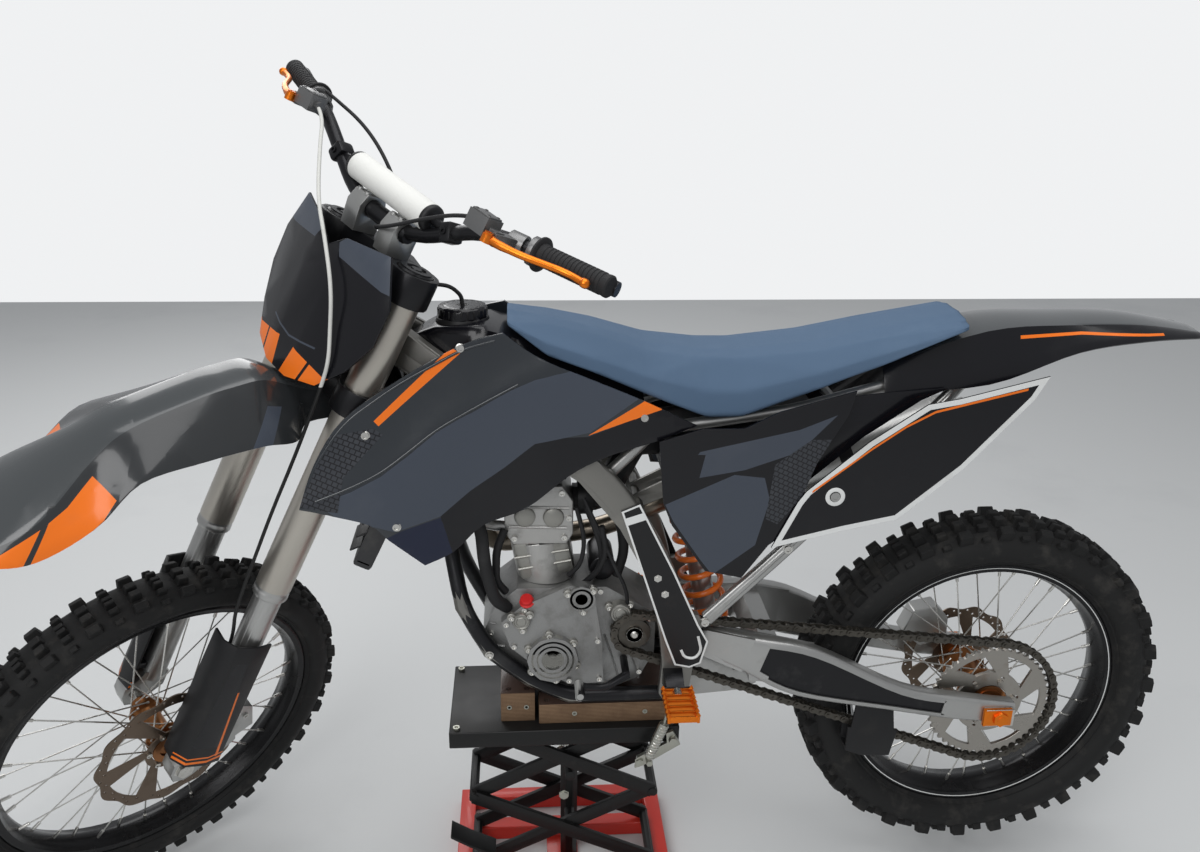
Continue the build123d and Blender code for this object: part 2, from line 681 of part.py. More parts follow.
# Panels over the airbox, and the rear number plates, which are blank
AIRBOX_PANEL = [
    (627, 535), (617, 429), (602, 391), (544, 307), (483, 293), (442, 352), (415, 373), (395, 430),
    (373, 497), (330, 576), (320, 616), (438, 583), (493, 556), (560, 556),
]
RIGHT_AIRBOX_PANEL = [
    (627, 535), (617, 429), (608, 396), (424, 384), (395, 430), (373, 497), (330, 576), (320, 616), (438, 583),
    (493, 556), (560, 556),
]
LEFT_PLATE = [
    (438, 349), (400, 430), (387, 449), (293, 532), (205, 594), (155, 603), (15, 639), (34, 601), (134, 484),
    (234, 396), (321, 378),
]
RIGHT_PLATE = [
    (428, 380), (400, 430), (387, 449), (293, 532), (205, 594), (155, 603), (15, 639), (34, 601), (80, 552),
]
PANEL_Y = 130
PLATE_Y = PANEL_Y + SEAT_GAP
PANEL_PEGS = [(440, 470), (590, 490)]
PLATE_PEG = (240, 490)
PANEL_THICK = 4
AIRBOX_Y = 71
STRUT_OUTSIDE = 86.6
with BuildPart() as side_panels:
    plate(AIRBOX_PANEL, PANEL_Y, PANEL_THICK)
    plate(RIGHT_AIRBOX_PANEL, PANEL_THICK - PANEL_Y, PANEL_THICK)
    for x, z in PANEL_PEGS:
        cylinder_y(x, z, 7, PANEL_Y - 1, AIRBOX_Y + SEAT_GAP)
        cylinder_y(x, z, 7, -AIRBOX_Y - SEAT_GAP, 1 - PANEL_Y)
keep(side_panels, "side_panels", BIKE)
with BuildPart() as number_plates:
    plate(LEFT_PLATE, PLATE_Y + PANEL_THICK, PANEL_THICK)
    plate(RIGHT_PLATE, -PLATE_Y, PANEL_THICK)
    cylinder_y(*PLATE_PEG, 7, PLATE_Y + 1, STRUT_OUTSIDE)
    cylinder_y(*PLATE_PEG, 7, -STRUT_OUTSIDE, -PLATE_Y - 1)
keep(number_plates, "number_plates", BIKE)

# Airbox under the seat and the duct from it to the cylinder head
AIRBOX = [(372, 400), (470, 400), (500, 452), (612, 452), (612, 522), (560, 528), (500, 530), (362, 566)]
with BuildPart() as airbox:
    plate(AIRBOX, AIRBOX_Y, 2 * AIRBOX_Y)
keep(airbox, "airbox", BIKE)
with BuildPart() as intake:
    tube([(612.3, 0, 488), (652, 0, 488), (706, 0, 386), (756.7, 0, 386)], 24, 24)
    with BuildSketch(Plane(origin=(722, 0, 386), z_dir=(1, 0, 0))):
        RegularPolygon(30, 12)
    extrude(amount=26)
keep(intake, "intake", BIKE)

# Rear fender: an inverted channel. x, centre z, crease half width, crease z, edge half width, edge z
REAR_FENDER = [
    (262, 642, 66, 638, 92, 600),
    (92, 698, 60, 692, 92, 612),
    (-53, 706, 55, 700, 88, 664),
    (-170, 704, 50, 698, 80, 680),
    (-278, 685, 34, 682, 50, 676),
]
FRONT_FENDER = [
    (-78, 676, 24, 672, 42, 646),
    (-35, LOWER_CLAMP - SEAT_GAP, 28, 708, 48, 676),
    (62, LOWER_CLAMP - SEAT_GAP, 30, 708, 58, 666),
    (98, 716, 31, 712, 92, 650),
    (152, 722, 33, 718, 100, 645),
    (196, 706, 33, 702, 101, 632),
    (240, 684, 33, 680, 101, 616),
    (330, 628, 34, 622, 102, 578),
    (372, 592, 44, 575, 104, 503),
    (430, 530, 76, 500, 102, 452),
    (480, 466, 72, 452, 90, 436),
    (512, 430, 40, 427, 55, 424),
]
FENDER_THICK = 4


def fender(stations):
    """An inverted channel through sections across its length."""
    sections = []
    for x, top, crease, crease_z, edge, edge_z in stations:
        outer = [(edge, edge_z), (crease, crease_z), (0, top)]
        inner = [(0, top - FENDER_THICK), (crease - 2, crease_z - FENDER_THICK), (edge - FENDER_THICK, edge_z)]
        points = [(-y, z) for y, z in outer] + [(y, z) for y, z in reversed(outer[:-1])]
        points += [(y, z) for y, z in reversed(inner[1:])] + [(-y, z) for y, z in inner]
        sections.append([Vector(x, y, z) for y, z in points])
    facets(sections)


with BuildPart() as rear_fender:
    fender(REAR_FENDER)
keep(rear_fender, "rear_fender", BIKE)
with BuildPart() as front_fender:
    fender(FRONT_FENDER)
keep(front_fender, "front_fender", FRONT)

# Engine: crankcase between the cradle tubes, covers on both sides, then the leaning cylinder and head
CRANKCASE = [
    (614, 112), (640, 62), (700, 36), (796, 36), (858, 68), (908, 120), (912, 160), (888, 215), (852, 244),
    (700, 244), (655, 215), (614, 190),
]
CASE_Y = 62
CASE_TOP = 244
COVER_Y = 96
LEFT_COVER = [(704, 66), (762, 64), (812, 92), (866, 142), (880, 190), (846, 220), (764, 258), (724, 254), (708, 150)]
with BuildPart() as engine_case:
    plate(CRANKCASE, CASE_Y, 2 * CASE_Y)
    plate(LEFT_COVER, COVER_Y - 14, COVER_Y - 14 - CASE_Y + 1)
    cylinder_y(793, 122, 44, COVER_Y, COVER_Y - 15)
    cylinder_y(744, 236, 24, COVER_Y - 6, COVER_Y - 15)
    plate([(704, 66), (762, 64), (812, 92), (866, 142), (860, 200), (700, 215), (650, 150)], -CASE_Y + 1, 32)
    cylinder_y(735, 140, 66, -CASE_Y - 30, -CASE_Y - 62)
    cylinder_y(OUTPUT_X, OUTPUT_Z, SHAFT_R, CHAIN_Y + 8, CASE_Y - 1)
    for x in (705, 765):
        cylinder_y(x, CRADLE_Z + 7, 8, CRADLE_Y - CRADLE_R - SEAT_GAP, CRADLE_R + SEAT_GAP - CRADLE_Y)
keep(engine_case, "engine_case", BIKE)

BARREL_LEAN = 10
HEAD_BLOCK = [(768, 322), (858, 322), (872, 345), (872, 410), (845, 428), (775, 428), (757, 400), (757, 340)]
BARREL_R = 51
with BuildPart() as cylinder:
    with BuildSketch(Plane(origin=(799, 0, 233), z_dir=(sin(radians(BARREL_LEAN)), 0, cos(radians(BARREL_LEAN))))):
        RegularPolygon(BARREL_R, 20)
    extrude(amount=90)
    plate(HEAD_BLOCK, BARREL_R, 2 * BARREL_R)
    split(bisect_by=Plane.XY.offset(CASE_TOP + SEAT_GAP), keep=Keep.TOP)
keep(cylinder, "cylinder", BIKE)

# Front sprocket, seen past the chain guide
FRONT_SPROCKET_R = FRONT_PITCH_R - CHAIN_HEIGHT / 2 - SEAT_GAP
with BuildPart() as front_sprocket:
    cylinder_y(OUTPUT_X, OUTPUT_Z, FRONT_SPROCKET_R, CHAIN_Y + 4, CHAIN_Y - 4, 2 * FRONT_TEETH)
    with BuildSketch(side(CHAIN_Y + 5)):
        with Locations((OUTPUT_X, OUTPUT_Z)):
            RegularPolygon(SHAFT_R + SEAT_GAP, 12, major_radius=False)
    extrude(amount=10, mode=Mode.SUBTRACT)
keep(front_sprocket, "front_sprocket", BIKE)

# Exhaust: header round the cylinder's right side, then back to the silencer
HEADER = [
    (872.3, 0, 380), (925, 0, 380), (925, -46, 332), (892, -PIPE_Y, 264), (700, -PIPE_Y, 292), (592, -PIPE_Y, 342),
    (526, -104, 345), (468, -SILENCER_Y, 303), (420.5, -SILENCER_Y, 321.5),
]
SILENCER_FRONT = (420, -SILENCER_Y, 322)
SILENCER_BACK = (40, -SILENCER_Y, 470)
with BuildPart() as exhaust:
    tube(HEADER, PIPE_R, [20, 24, 30, 60, 50, 40, 26])
keep(exhaust, "exhaust", BIKE)
with BuildPart() as silencer:
    run = Vector(*SILENCER_BACK) - Vector(*SILENCER_FRONT)
    with BuildSketch(Plane(origin=SILENCER_FRONT, x_dir=(0, 1, 0), z_dir=run)):
        RegularPolygon(SILENCER_R, 16)
    extrude(amount=run.length)
    with BuildSketch(Plane(origin=SILENCER_BACK, x_dir=(0, 1, 0), z_dir=run)):
        RegularPolygon(26, 12)
    extrude(amount=30)
    with BuildSketch(Plane(origin=SILENCER_BACK, x_dir=(0, 1, 0), z_dir=run)):
        RegularPolygon(20, 12)
    extrude(amount=34, mode=Mode.SUBTRACT)
keep(silencer, "silencer", BIKE)

# Swingarm stations: x, distance left, z, width, height
SWINGARM = [
    (597, 79, 157, 26, 36),
    (530, 82, 149, 28, 50),
    (455, 99, 131, 30, 68),
    (353, ARM_Y, 96, ARM_WIDTH, 96),
    (185, ARM_Y, 37, ARM_WIDTH, 50),
    (74, ARM_Y, 14, ARM_WIDTH, 46),
    (-28, ARM_Y, 0, ARM_WIDTH, 42),
]
with BuildPart() as swingarm:
    for sign in (1, -1):
        beam([((x, sign * y, z), width, height) for x, y, z, width, height in SWINGARM])
    plate([(400, 62), (448, 66), (452, 128), (432, 150), (400, 146)], ARM_Y - 16, 2 * (ARM_Y - 16))
    tube([(PIVOT_X, 72, PIVOT_Z), (PIVOT_X, -72, PIVOT_Z)], 16, 0)
    with BuildSketch(side(SPAR_Y + 20)):
        with Locations((PIVOT_X, PIVOT_Z)):
            RegularPolygon(PIVOT_R + SEAT_GAP, 12, major_radius=False)
        with Locations((0, 0)):
            RegularPolygon(REAR_AXLE_R + SEAT_GAP, 12, major_radius=False)
    extrude(amount=2 * SPAR_Y + 40, mode=Mode.SUBTRACT)
keep(swingarm, "swingarm", BIKE)

with BuildPart() as pivot_bolt:
    cylinder_y(PIVOT_X, PIVOT_Z, PIVOT_R, SPAR_Y + 10, -SPAR_Y - 10)
keep(pivot_bolt, "pivot_bolt", BIKE)

with BuildPart() as rear_axle:
    with BuildSketch(side(ARM_Y + 24)):
        Circle(REAR_AXLE_R)
    extrude(amount=2 * ARM_Y + 48)
    for left in (ARM_Y + ARM_WIDTH / 2 + 9 + SEAT_GAP, -ARM_Y - ARM_WIDTH / 2 - SEAT_GAP):
        plate([(-26, -17), (26, -17), (26, 17), (-26, 17)], left, 9)
keep(rear_axle, "rear_axle", BIKE)

# Shock absorber, its spring and the linkage under the swingarm
SHOCK_TOP = Vector(562, 0, 428)
SHOCK_FOOT = Vector(498, 0, 62)
SPRING_R = 35
SPRING_WIRE = 11
SPRING_TURNS = 6
shock_run = SHOCK_FOOT - SHOCK_TOP
with BuildPart() as shock:
    with BuildSketch(Plane(origin=SHOCK_TOP, x_dir=(0, 1, 0), z_dir=shock_run)):
        RegularPolygon(20, 12)
    extrude(amount=shock_run.length - 6)
    with BuildSketch(Plane(origin=SHOCK_TOP, x_dir=(0, 1, 0), z_dir=shock_run).offset(60)):
        RegularPolygon(SPRING_R + 4, 16)
    extrude(amount=14)
    with BuildSketch(Plane(origin=SHOCK_TOP, x_dir=(0, 1, 0), z_dir=shock_run).offset(300)):
        RegularPolygon(SPRING_R + 2, 16)
    extrude(amount=10)
    for sign in (1, -1):
        plate(
            [(512, 92), (488, 92), (464, 50), (424, 50), (420, 22), (446, 8), (540, 0), (566, 26), (560, 40)],
            sign * 28 + 4, 8,
        )
    tube([(498, 32, 66), (498, -32, 66)], 9, 0)
    tube([(SHOCK_TOP.X, SHOCK_EYE, SHOCK_TOP.Z), (SHOCK_TOP.X, -SHOCK_EYE, SHOCK_TOP.Z)], 9, 0)
keep(shock, "shock", BIKE)

COIL_STEPS = 12
SPRING_LOW = 74 + SEAT_GAP + SPRING_WIRE / 2
SPRING_HIGH = 300 - SEAT_GAP - SPRING_WIRE / 2
with BuildPart() as shock_spring:
    rise = (SPRING_HIGH - SPRING_LOW) / SPRING_TURNS
    wire = []
    for k in range(SPRING_TURNS * COIL_STEPS + 1):
        turn = 2 * PI * k / COIL_STEPS
        level = SPRING_LOW + rise * k / COIL_STEPS
        wire.append([
            Vector(r * cos(turn), r * sin(turn), level + lift)
            for r, lift in ((SPRING_R, 0), (SPRING_R - SPRING_WIRE / 2, SPRING_WIRE / 2),
                            (SPRING_R - SPRING_WIRE, 0), (SPRING_R - SPRING_WIRE / 2, -SPRING_WIRE / 2))
        ])
    facets(wire)
keep(shock_spring, "shock_spring", BIKE * Location(Plane(origin=SHOCK_TOP, x_dir=(0, 1, 0), z_dir=shock_run)))

# Chain guide under the arm and the flap before the tyre
with BuildPart() as swingarm_guards:
    plate([(170, -44), (262, -34), (262, -84), (232, -96), (180, -98)], CHAIN_Y + 20, 5)
    plate([(170, -44), (262, -34), (262, -84), (232, -96), (180, -98)], CHAIN_Y - 14, 5)
    plate([(183, 11), (250, 24), (256, -36), (176, -44)], CHAIN_Y + 20, 5)
    plate([(180, -98), (232, -96), (262, -84), (262, -78), (230, -89), (180, -91)], CHAIN_Y + 20, 39)
keep(swingarm_guards, "swingarm_guards", BIKE)

# Foot pegs and foot controls
PEG_LENGTH = 84
PEG_WIDTH = 54
PEG_Z = 96
PEG_Y = 156
with BuildPart() as footpegs:
    for sign in (1, -1):
        middle = sign * (PEG_Y + PEG_LENGTH / 2)
        with Locations((586, middle, PEG_Z)):
            Box(PEG_WIDTH, PEG_LENGTH, 14)
            with GridLocations(PEG_WIDTH / 3, PEG_LENGTH / 3, 2, 2):
                Box(12, 20, 14, mode=Mode.SUBTRACT)
        beam([((588, sign * (SPAR_Y + 8 + SEAT_GAP), 96), 34, 30), ((588, sign * (PEG_Y + 1), PEG_Z), 30, 14)])
keep(footpegs, "footpegs", BIKE)

with BuildPart() as foot_controls:
    beam([((664, 112, 102), 10, 12), ((706, 120, 80), 8, 10), ((750, 124, 88), 8, 10)])
    tube([(748, 118, 88), (748, 160, 90)], 8, 0)
    tube([(668, CASE_Y + SEAT_GAP, 102), (668, 116, 102)], 7, 0)
    beam([((600, -142, 60), 10, 16), ((680, -142, 56), 8, 14), ((752, -132, 92), 8, 12)])
    tube([(602, -SPAR_Y - 8 - SEAT_GAP, 60), (602, -148, 60)], 7, 0)
    with Locations((752, -142, 98)):
        Box(30, 34, 6)
keep(foot_controls, "foot_controls", BIKE)

# Rear caliper over the disc
CALIPER = [(34, 52), (84, 36), (122, 66), (104, 112), (60, 122), (36, 96)]
with BuildPart() as rear_caliper:
    plate(CALIPER, -REAR_DISC_Y + 20, 40)
    with BuildSketch(side(-REAR_DISC_Y + 4.5)):
        RegularPolygon(REAR_DISC_R + 5, 24, major_radius=False)
    extrude(amount=9, mode=Mode.SUBTRACT)
keep(rear_caliper, "rear_caliper", BIKE)

# Front end, drawn with the steering axis upright: x ahead of it, y left, z along it
with BuildPart() as triple_clamps:
    for foot, height in ((LOWER_CLAMP, LOWER_CLAMP_H), (UPPER_CLAMP, UPPER_CLAMP_H)):
        clamp_r = TUBE_R + CLAMP_WALL
        body = [(-22, -30), (-22, 30), (LEG_AHEAD - 30, LEG_Y - 18), (LEG_AHEAD + 22, LEG_Y - 20), (34, 0)]
        body += [(LEG_AHEAD + 22, 20 - LEG_Y), (LEG_AHEAD - 30, 18 - LEG_Y)]
        extrude(outline(Plane.XY.offset(foot), body), amount=height)
        with BuildSketch(Plane.XY.offset(foot)):
            with Locations((LEG_AHEAD, LEG_Y), (LEG_AHEAD, -LEG_Y)):
                RegularPolygon(clamp_r, LEG_SIDES)
        extrude(amount=height)
    for low, high, radius in (
        (LOWER_CLAMP, UPPER_CLAMP + UPPER_CLAMP_H, STEM_R),
        (LOWER_CLAMP + LOWER_CLAMP_H - 1, HEAD_FOOT + BEARING, HEAD_BORE_R - SEAT_GAP),
        (HEAD_TOP - BEARING, UPPER_CLAMP + 1, HEAD_BORE_R - SEAT_GAP),
    ):
        with BuildSketch(Plane.XY.offset(low)) as ring:
            RegularPolygon(radius, LEG_SIDES)
        extrude(ring.sketch, amount=high - low)
    with BuildSketch(Plane.XY.offset(LOWER_CLAMP)) as bores:
        with Locations((LEG_AHEAD, LEG_Y), (LEG_AHEAD, -LEG_Y)):
            RegularPolygon(TUBE_R + SEAT_GAP, LEG_SIDES)
    extrude(bores.sketch, amount=UPPER_CLAMP + UPPER_CLAMP_H - LOWER_CLAMP, mode=Mode.SUBTRACT)
keep(triple_clamps, "triple_clamps", FRONT)

with BuildPart() as fork_tubes:
    with BuildSketch(Plane.XY.offset(TUBE_FOOT)):
        with Locations((LEG_AHEAD, LEG_Y), (LEG_AHEAD, -LEG_Y)):
            RegularPolygon(TUBE_R, LEG_SIDES)
    extrude(amount=TUBE_TOP - TUBE_FOOT)
keep(fork_tubes, "fork_tubes", FRONT)

LUG_FOOT = -26
with BuildPart() as fork_legs:
    with BuildSketch(Plane.XY.offset(28)):
        with Locations((LEG_AHEAD, LEG_Y), (LEG_AHEAD, -LEG_Y)):
            RegularPolygon(LEG_R, LEG_SIDES)
    extrude(amount=TUBE_FOOT - SEAT_GAP - 28)
    for sign in (1, -1):
        plate(
            [(LEG_AHEAD - 22, 46), (LEG_AHEAD - 22, 14), (FORK_OFFSET - 20, LUG_FOOT + 8), (FORK_OFFSET - 8, LUG_FOOT),
             (FORK_OFFSET + 12, LUG_FOOT), (FORK_OFFSET + 22, -8), (FORK_OFFSET + 22, 10), (LEG_AHEAD + 28, 34),
             (LEG_AHEAD + 24, 46)],
            sign * LEG_Y + 17, 34,
        )
    with BuildSketch(side(LEG_Y + 30)):
        with Locations((FORK_OFFSET, 0)):
            Circle(FRONT_AXLE_R + SEAT_GAP)
    extrude(amount=2 * LEG_Y + 60, mode=Mode.SUBTRACT)
keep(fork_legs, "fork_legs", FRONT)

with BuildPart() as front_axle:
    with BuildSketch(side(LEG_Y + 24)):
        with Locations((FORK_OFFSET, 0)):
            Circle(FRONT_AXLE_R)
    extrude(amount=2 * LEG_Y + 48)
keep(front_axle, "front_axle", FRONT)

# Fork guards: a bent plate round the front and outside of each lower leg
GUARD_HULL = [(4, 129), (34, 134), (70, 128), (84, 104), (80, 72)]
GUARD_SKIN = GUARD_HULL + [(76, 72), (79, 103), (67, 124), (34, 130), (5, 125)]
GUARD_FOOT = 20
GUARD_TOP = 275
with BuildPart() as fork_guards:
    extrude(outline(Plane.XY.offset(GUARD_FOOT), GUARD_SKIN), amount=GUARD_TOP - GUARD_FOOT)
    with BuildSketch(Plane.XY.offset(52)) as lug:
        with Locations((LEG_AHEAD + 18, LEG_Y + 10)):
            Rectangle(56, 40)
        with Locations((LEG_AHEAD, LEG_Y)):
            RegularPolygon(LEG_R + SEAT_GAP, LEG_SIDES, mode=Mode.SUBTRACT)
        add(outline(Plane.XY, GUARD_HULL + [(4, 72)]), mode=Mode.INTERSECT)
    extrude(lug.sketch, amount=12)
    mirror(about=Plane.XZ)
keep(fork_guards, "fork_guards", FRONT)

# Handlebar with its cross bar, and what is clamped to it
BAR_END = (-25, 405, 1096)
BAR_KNEE = (42, 212, 1076)
BAR_MIDDLE = (BAR_AHEAD, 72, BAR_HEIGHT)
CROSS_Y = 146
CROSS_Z = 1040
CROSS_R = 7
bar_route = [(BAR_END[0], -BAR_END[1], BAR_END[2]), (BAR_KNEE[0], -BAR_KNEE[1], BAR_KNEE[2])]
bar_route += [(BAR_AHEAD, -BAR_MIDDLE[1], BAR_HEIGHT), BAR_MIDDLE, BAR_KNEE, BAR_END]
with BuildPart() as handlebar:
    tube(bar_route, BAR_R, 45, 12)
    tube([(BAR_AHEAD, -62, BAR_HEIGHT), (BAR_AHEAD, 62, BAR_HEIGHT)], BAR_SLEEVE_R, 0, 12)
    tube([(41, -CROSS_Y, CROSS_Z), (41, CROSS_Y, CROSS_Z)], CROSS_R, 0)
    for sign in (1, -1):
        with Locations(Location((41, sign * CROSS_Y, CROSS_Z), (sign * 29, 0, 0))):
            Box(30, 24, 30)
keep(handlebar, "handlebar", FRONT)

PAD_R = 22
PAD_HALF = 80
with BuildPart() as bar_pad:
    with BuildSketch(Plane.XZ.offset(-PAD_HALF)):
        with Locations((41, CROSS_Z)):
            RegularPolygon(PAD_R, 16)
            RegularPolygon(CROSS_R + SEAT_GAP, 8, major_radius=False, mode=Mode.SUBTRACT)
    extrude(amount=2 * PAD_HALF)
keep(bar_pad, "bar_pad", FRONT)

MOUNT_WIDTH = 34
with BuildPart() as bar_mounts:
    for sign in (1, -1):
        plate(
            [(BAR_AHEAD - 24, UPPER_CLAMP + UPPER_CLAMP_H), (BAR_AHEAD + 20, UPPER_CLAMP + UPPER_CLAMP_H),
             (BAR_AHEAD + 25, BAR_HEIGHT), (BAR_AHEAD + 17, BAR_HEIGHT + 19), (BAR_AHEAD - 17, BAR_HEIGHT + 19),
             (BAR_AHEAD - 25, BAR_HEIGHT)],
            sign * MOUNT_Y + MOUNT_WIDTH / 2, MOUNT_WIDTH,
        )
    with BuildSketch(side(80)):
        with Locations((BAR_AHEAD, BAR_HEIGHT)):
            RegularPolygon(BAR_SLEEVE_R + SEAT_GAP, 12, major_radius=False)
    extrude(amount=160, mode=Mode.SUBTRACT)
keep(bar_mounts, "bar_mounts", FRONT)


def along_bar(share):
    """The bar's centre between its knee (0) and its end (1) on the left."""
    return Vector(*BAR_KNEE) + (Vector(*BAR_END) - Vector(*BAR_KNEE)) * share


def bar_ring(start, end, radius):
    """Add a ring round the bar on both sides, between two shares of its outer run."""
    first = along_bar(start)
    last = along_bar(end)
    for sign in (1, -1):
        origin = (first.X, sign * first.Y, first.Z)
        run = Vector(last.X - first.X, sign * (last.Y - first.Y), last.Z - first.Z)
        with BuildSketch(Plane(origin=origin, z_dir=run)) as ring:
            RegularPolygon(radius, 12)
            RegularPolygon(BAR_R + SEAT_GAP, 12, major_radius=False, mode=Mode.SUBTRACT)
        extrude(ring.sketch, amount=run.length)


with BuildPart() as grips:
    bar_ring(0.42, 0.99, GRIP_R)
    bar_ring(0.40, 0.42, GRIP_R + 9)
keep(grips, "grips", FRONT)

LEVER_BOSS_R = 8
HOUSING_R = GRIP_R + 5
perch = along_bar(0.23)
PERCH_END = perch.X + 52
with BuildPart() as lever_perches:
    bar_ring(0.17, 0.29, GRIP_R)
    bar_ring(0.34, 0.395, HOUSING_R)
    for sign in (1, -1):
        beam([
            ((perch.X + 15.5, sign * perch.Y, perch.Z - 3), 20, 20),
            ((PERCH_END, sign * perch.Y, perch.Z - 3), 12, 18),
        ])
        with Locations((perch.X + 45, sign * (perch.Y - 32), perch.Z + 6)):
            Box(30, 40, 26)
        with Locations((perch.X + 42, sign * (perch.Y - 8), perch.Z)):
            Box(16, 20, 16)
keep(lever_perches, "lever_perches", FRONT)

with BuildPart() as levers:
    knee = along_bar(0.5)
    end = along_bar(0.93)
    boss_x = PERCH_END + LEVER_BOSS_R + SEAT_GAP
    for sign in (1, -1):
        with BuildSketch(Plane.XY.offset(perch.Z - 10)) as boss:
            with Locations((boss_x, sign * perch.Y)):
                RegularPolygon(LEVER_BOSS_R, 8)
        extrude(boss.sketch, amount=12)
        beam([
            ((boss_x + 2, sign * perch.Y, perch.Z - 4), 11, 9),
            ((knee.X + 60, sign * knee.Y, knee.Z - 6), 12, 9),
            ((end.X + 44, sign * end.Y, end.Z - 6), 12, 9),
        ])
keep(levers, "levers", FRONT)

# Hoses and the throttle cable: from the master cylinders and the throttle down to the clamps and the left guard
HOSE_R = 3
BRAKE_HOSE = [
    (72, -204.3, 1086), (74, -178, 1078), (96, -130, 1045), (124, -50, 985), (132, 6, 950), (129, 62, 893),
    (115, 80, 833), (108, 96, 790), (103, 97, 745), (94, 90, 702), (86, 87, 616), (83, 86, 519), (77, 87, 421),
    (80, 98, 330), (66, 99, 288), (60, 98, 250), (60, 98, 64.3),
]
CLUTCH_HOSE = [(72, 204.3, 1086), (74, 178, 1078), (84, 130, 1046), (80, 60, 1000), (66, 18, 985), (34, 6, 980), (30, 4, 957.3)]
THROTTLE_CABLE = [
    (15, -271.5, 1100.5), (16, -240, 1099), (6, -170, 1090), (-6, -110, 1066), (-16, -50, 1026), (-18, -22, 985),
    (-16, -18, 957.3),
]
for route, name in ((BRAKE_HOSE, "brake_hose"), (CLUTCH_HOSE, "clutch_hose"), (THROTTLE_CABLE, "throttle_cable")):
    with BuildPart() as hose:
        tube(route, HOSE_R, 15, 6)
    keep(hose, name, FRONT)

# Front number plate, blank: a bent plate with a notch at its top. y, z
PLATE_HALF = [(0, 936), (34, 962), (112, 974), (143, 906), (143, 845), (118, 788), (82, 742), (26, 725)]
PLATE_SKIN = [(84, 150), (104, 80), (116, 30), (116, -30), (104, -80), (84, -150)]
PLATE_LUG = 36.6
with BuildPart() as front_plate:
    half = PLATE_HALF + [(-y, z) for y, z in reversed(PLATE_HALF[1:])]
    extrude(outline(Plane.YZ.offset(60), half), amount=80)
    skin = PLATE_SKIN + [(x - PANEL_THICK, y) for x, y in reversed(PLATE_SKIN)]
    extrude(outline(Plane.XY.offset(690), skin), amount=320, mode=Mode.INTERSECT)
    with Locations(((PLATE_LUG + 114) / 2, 0, LOWER_CLAMP + 24)):
        Box(114 - PLATE_LUG, 24, 12)
keep(front_plate, "front_plate", FRONT)

CALIPER_HANGER = [(-60, 10), (-30, -30), (20, -22), (30, 0), (26, 26), (0, 27), (-4, 60), (-30, 80)]
with BuildPart() as front_caliper:
    plate([(-46, 8), (-30, -34), (4, -20), (-4, 60), (-30, 92), (-66, 84), (-84, 40)], FRONT_DISC_Y + 20, 40)
    plate(CALIPER_HANGER, LEG_Y - 17 - SEAT_GAP, 8)
    with BuildSketch(side(FRONT_DISC_Y + 4.5)):
        with Locations((FORK_OFFSET, 0)):
            RegularPolygon(FRONT_DISC_R + 5, 24, major_radius=False)
    extrude(amount=9, mode=Mode.SUBTRACT)
keep(front_caliper, "front_caliper", FRONT)

# Lift: base frame, two crossed pairs of arms on each side, and the deck under the cradle
BASE_PLATE = 8
with BuildPart() as lift_base:
    with Locations((0, 0, BASE_TUBE / 2)):
        Box(BASE_LENGTH, BASE_WIDTH, BASE_TUBE)
        Box(BASE_LENGTH - 2 * BASE_TUBE, BASE_WIDTH - 2 * BASE_TUBE, BASE_TUBE, mode=Mode.SUBTRACT)
    for y in (SCISSOR_Y, -SCISSOR_Y):
        with Locations((0, y, BASE_TUBE / 2)):
            Box(BASE_LENGTH - 2 * BASE_TUBE + 2, BASE_TUBE, BASE_TUBE)
    with Locations((0, 0, BASE_PLATE / 2)):
        Box(60, 2 * SCISSOR_Y, BASE_PLATE)
keep(lift_base, "lift_base", FLOOR)

ARM_FOOT_Z = BASE_TUBE + 12
DECK_SHEET = 3
ARM_HEAD_Z = DECK_TOP - DECK_SHEET - 12
ARM_MID_Z = (ARM_FOOT_Z + ARM_HEAD_Z) / 2
ARM_REACH = 165
ARM_BAR = (8, 26)
ROD_R = 9
with BuildPart() as lift_scissor:
    for side_sign in (1, -1):
        for low, high in ((ARM_FOOT_Z, ARM_MID_Z), (ARM_MID_Z, ARM_HEAD_Z)):
            for lean, inset in ((1, 0), (-1, 9)):
                y = side_sign * (SCISSOR_Y - inset)
                beam([((-lean * ARM_REACH, y, low), *ARM_BAR), ((lean * ARM_REACH, y, high), *ARM_BAR)])
    for x in (ARM_REACH, -ARM_REACH):
        for z in (ARM_FOOT_Z, ARM_MID_Z, ARM_HEAD_Z):
            tube([(x, SCISSOR_Y + 6, z), (x, -SCISSOR_Y - 6, z)], ROD_R, 0)
    tube([(-12, 0, BASE_PLATE + SEAT_GAP), (-12, 0, 236)], 17, 0)
    tube([(-12, SCISSOR_Y, 236), (-12, -SCISSOR_Y, 236)], 10, 0)
    tube([(-12, SCISSOR_Y, 120), (-12, -SCISSOR_Y, 120)], 10, 0)
    beam([((150, SCISSOR_Y + 4, ARM_FOOT_Z), 8, 18), ((134, 92, 108), 8, 18)])
    facets([
        [Vector(x, 92 + y, z) for y, z in ((-20, low), (22, low), (22, low + 5), (-20, low + 5))]
        for x, low in ((126, 104), (172, 128), (206, 150))
    ])
keep(lift_scissor, "lift_scissor", FLOOR)

with BuildPart() as lift_deck:
    with Locations((0, 0, DECK_TOP - DECK_SKIRT / 2)):
        Box(DECK_LENGTH, DECK_WIDTH, DECK_SKIRT)
    with Locations((0, 0, DECK_TOP - DECK_SKIRT / 2 - DECK_SHEET)):
        Box(DECK_LENGTH - 8, DECK_WIDTH - 8, DECK_SKIRT, mode=Mode.SUBTRACT)
keep(lift_deck, "lift_deck", FLOOR)

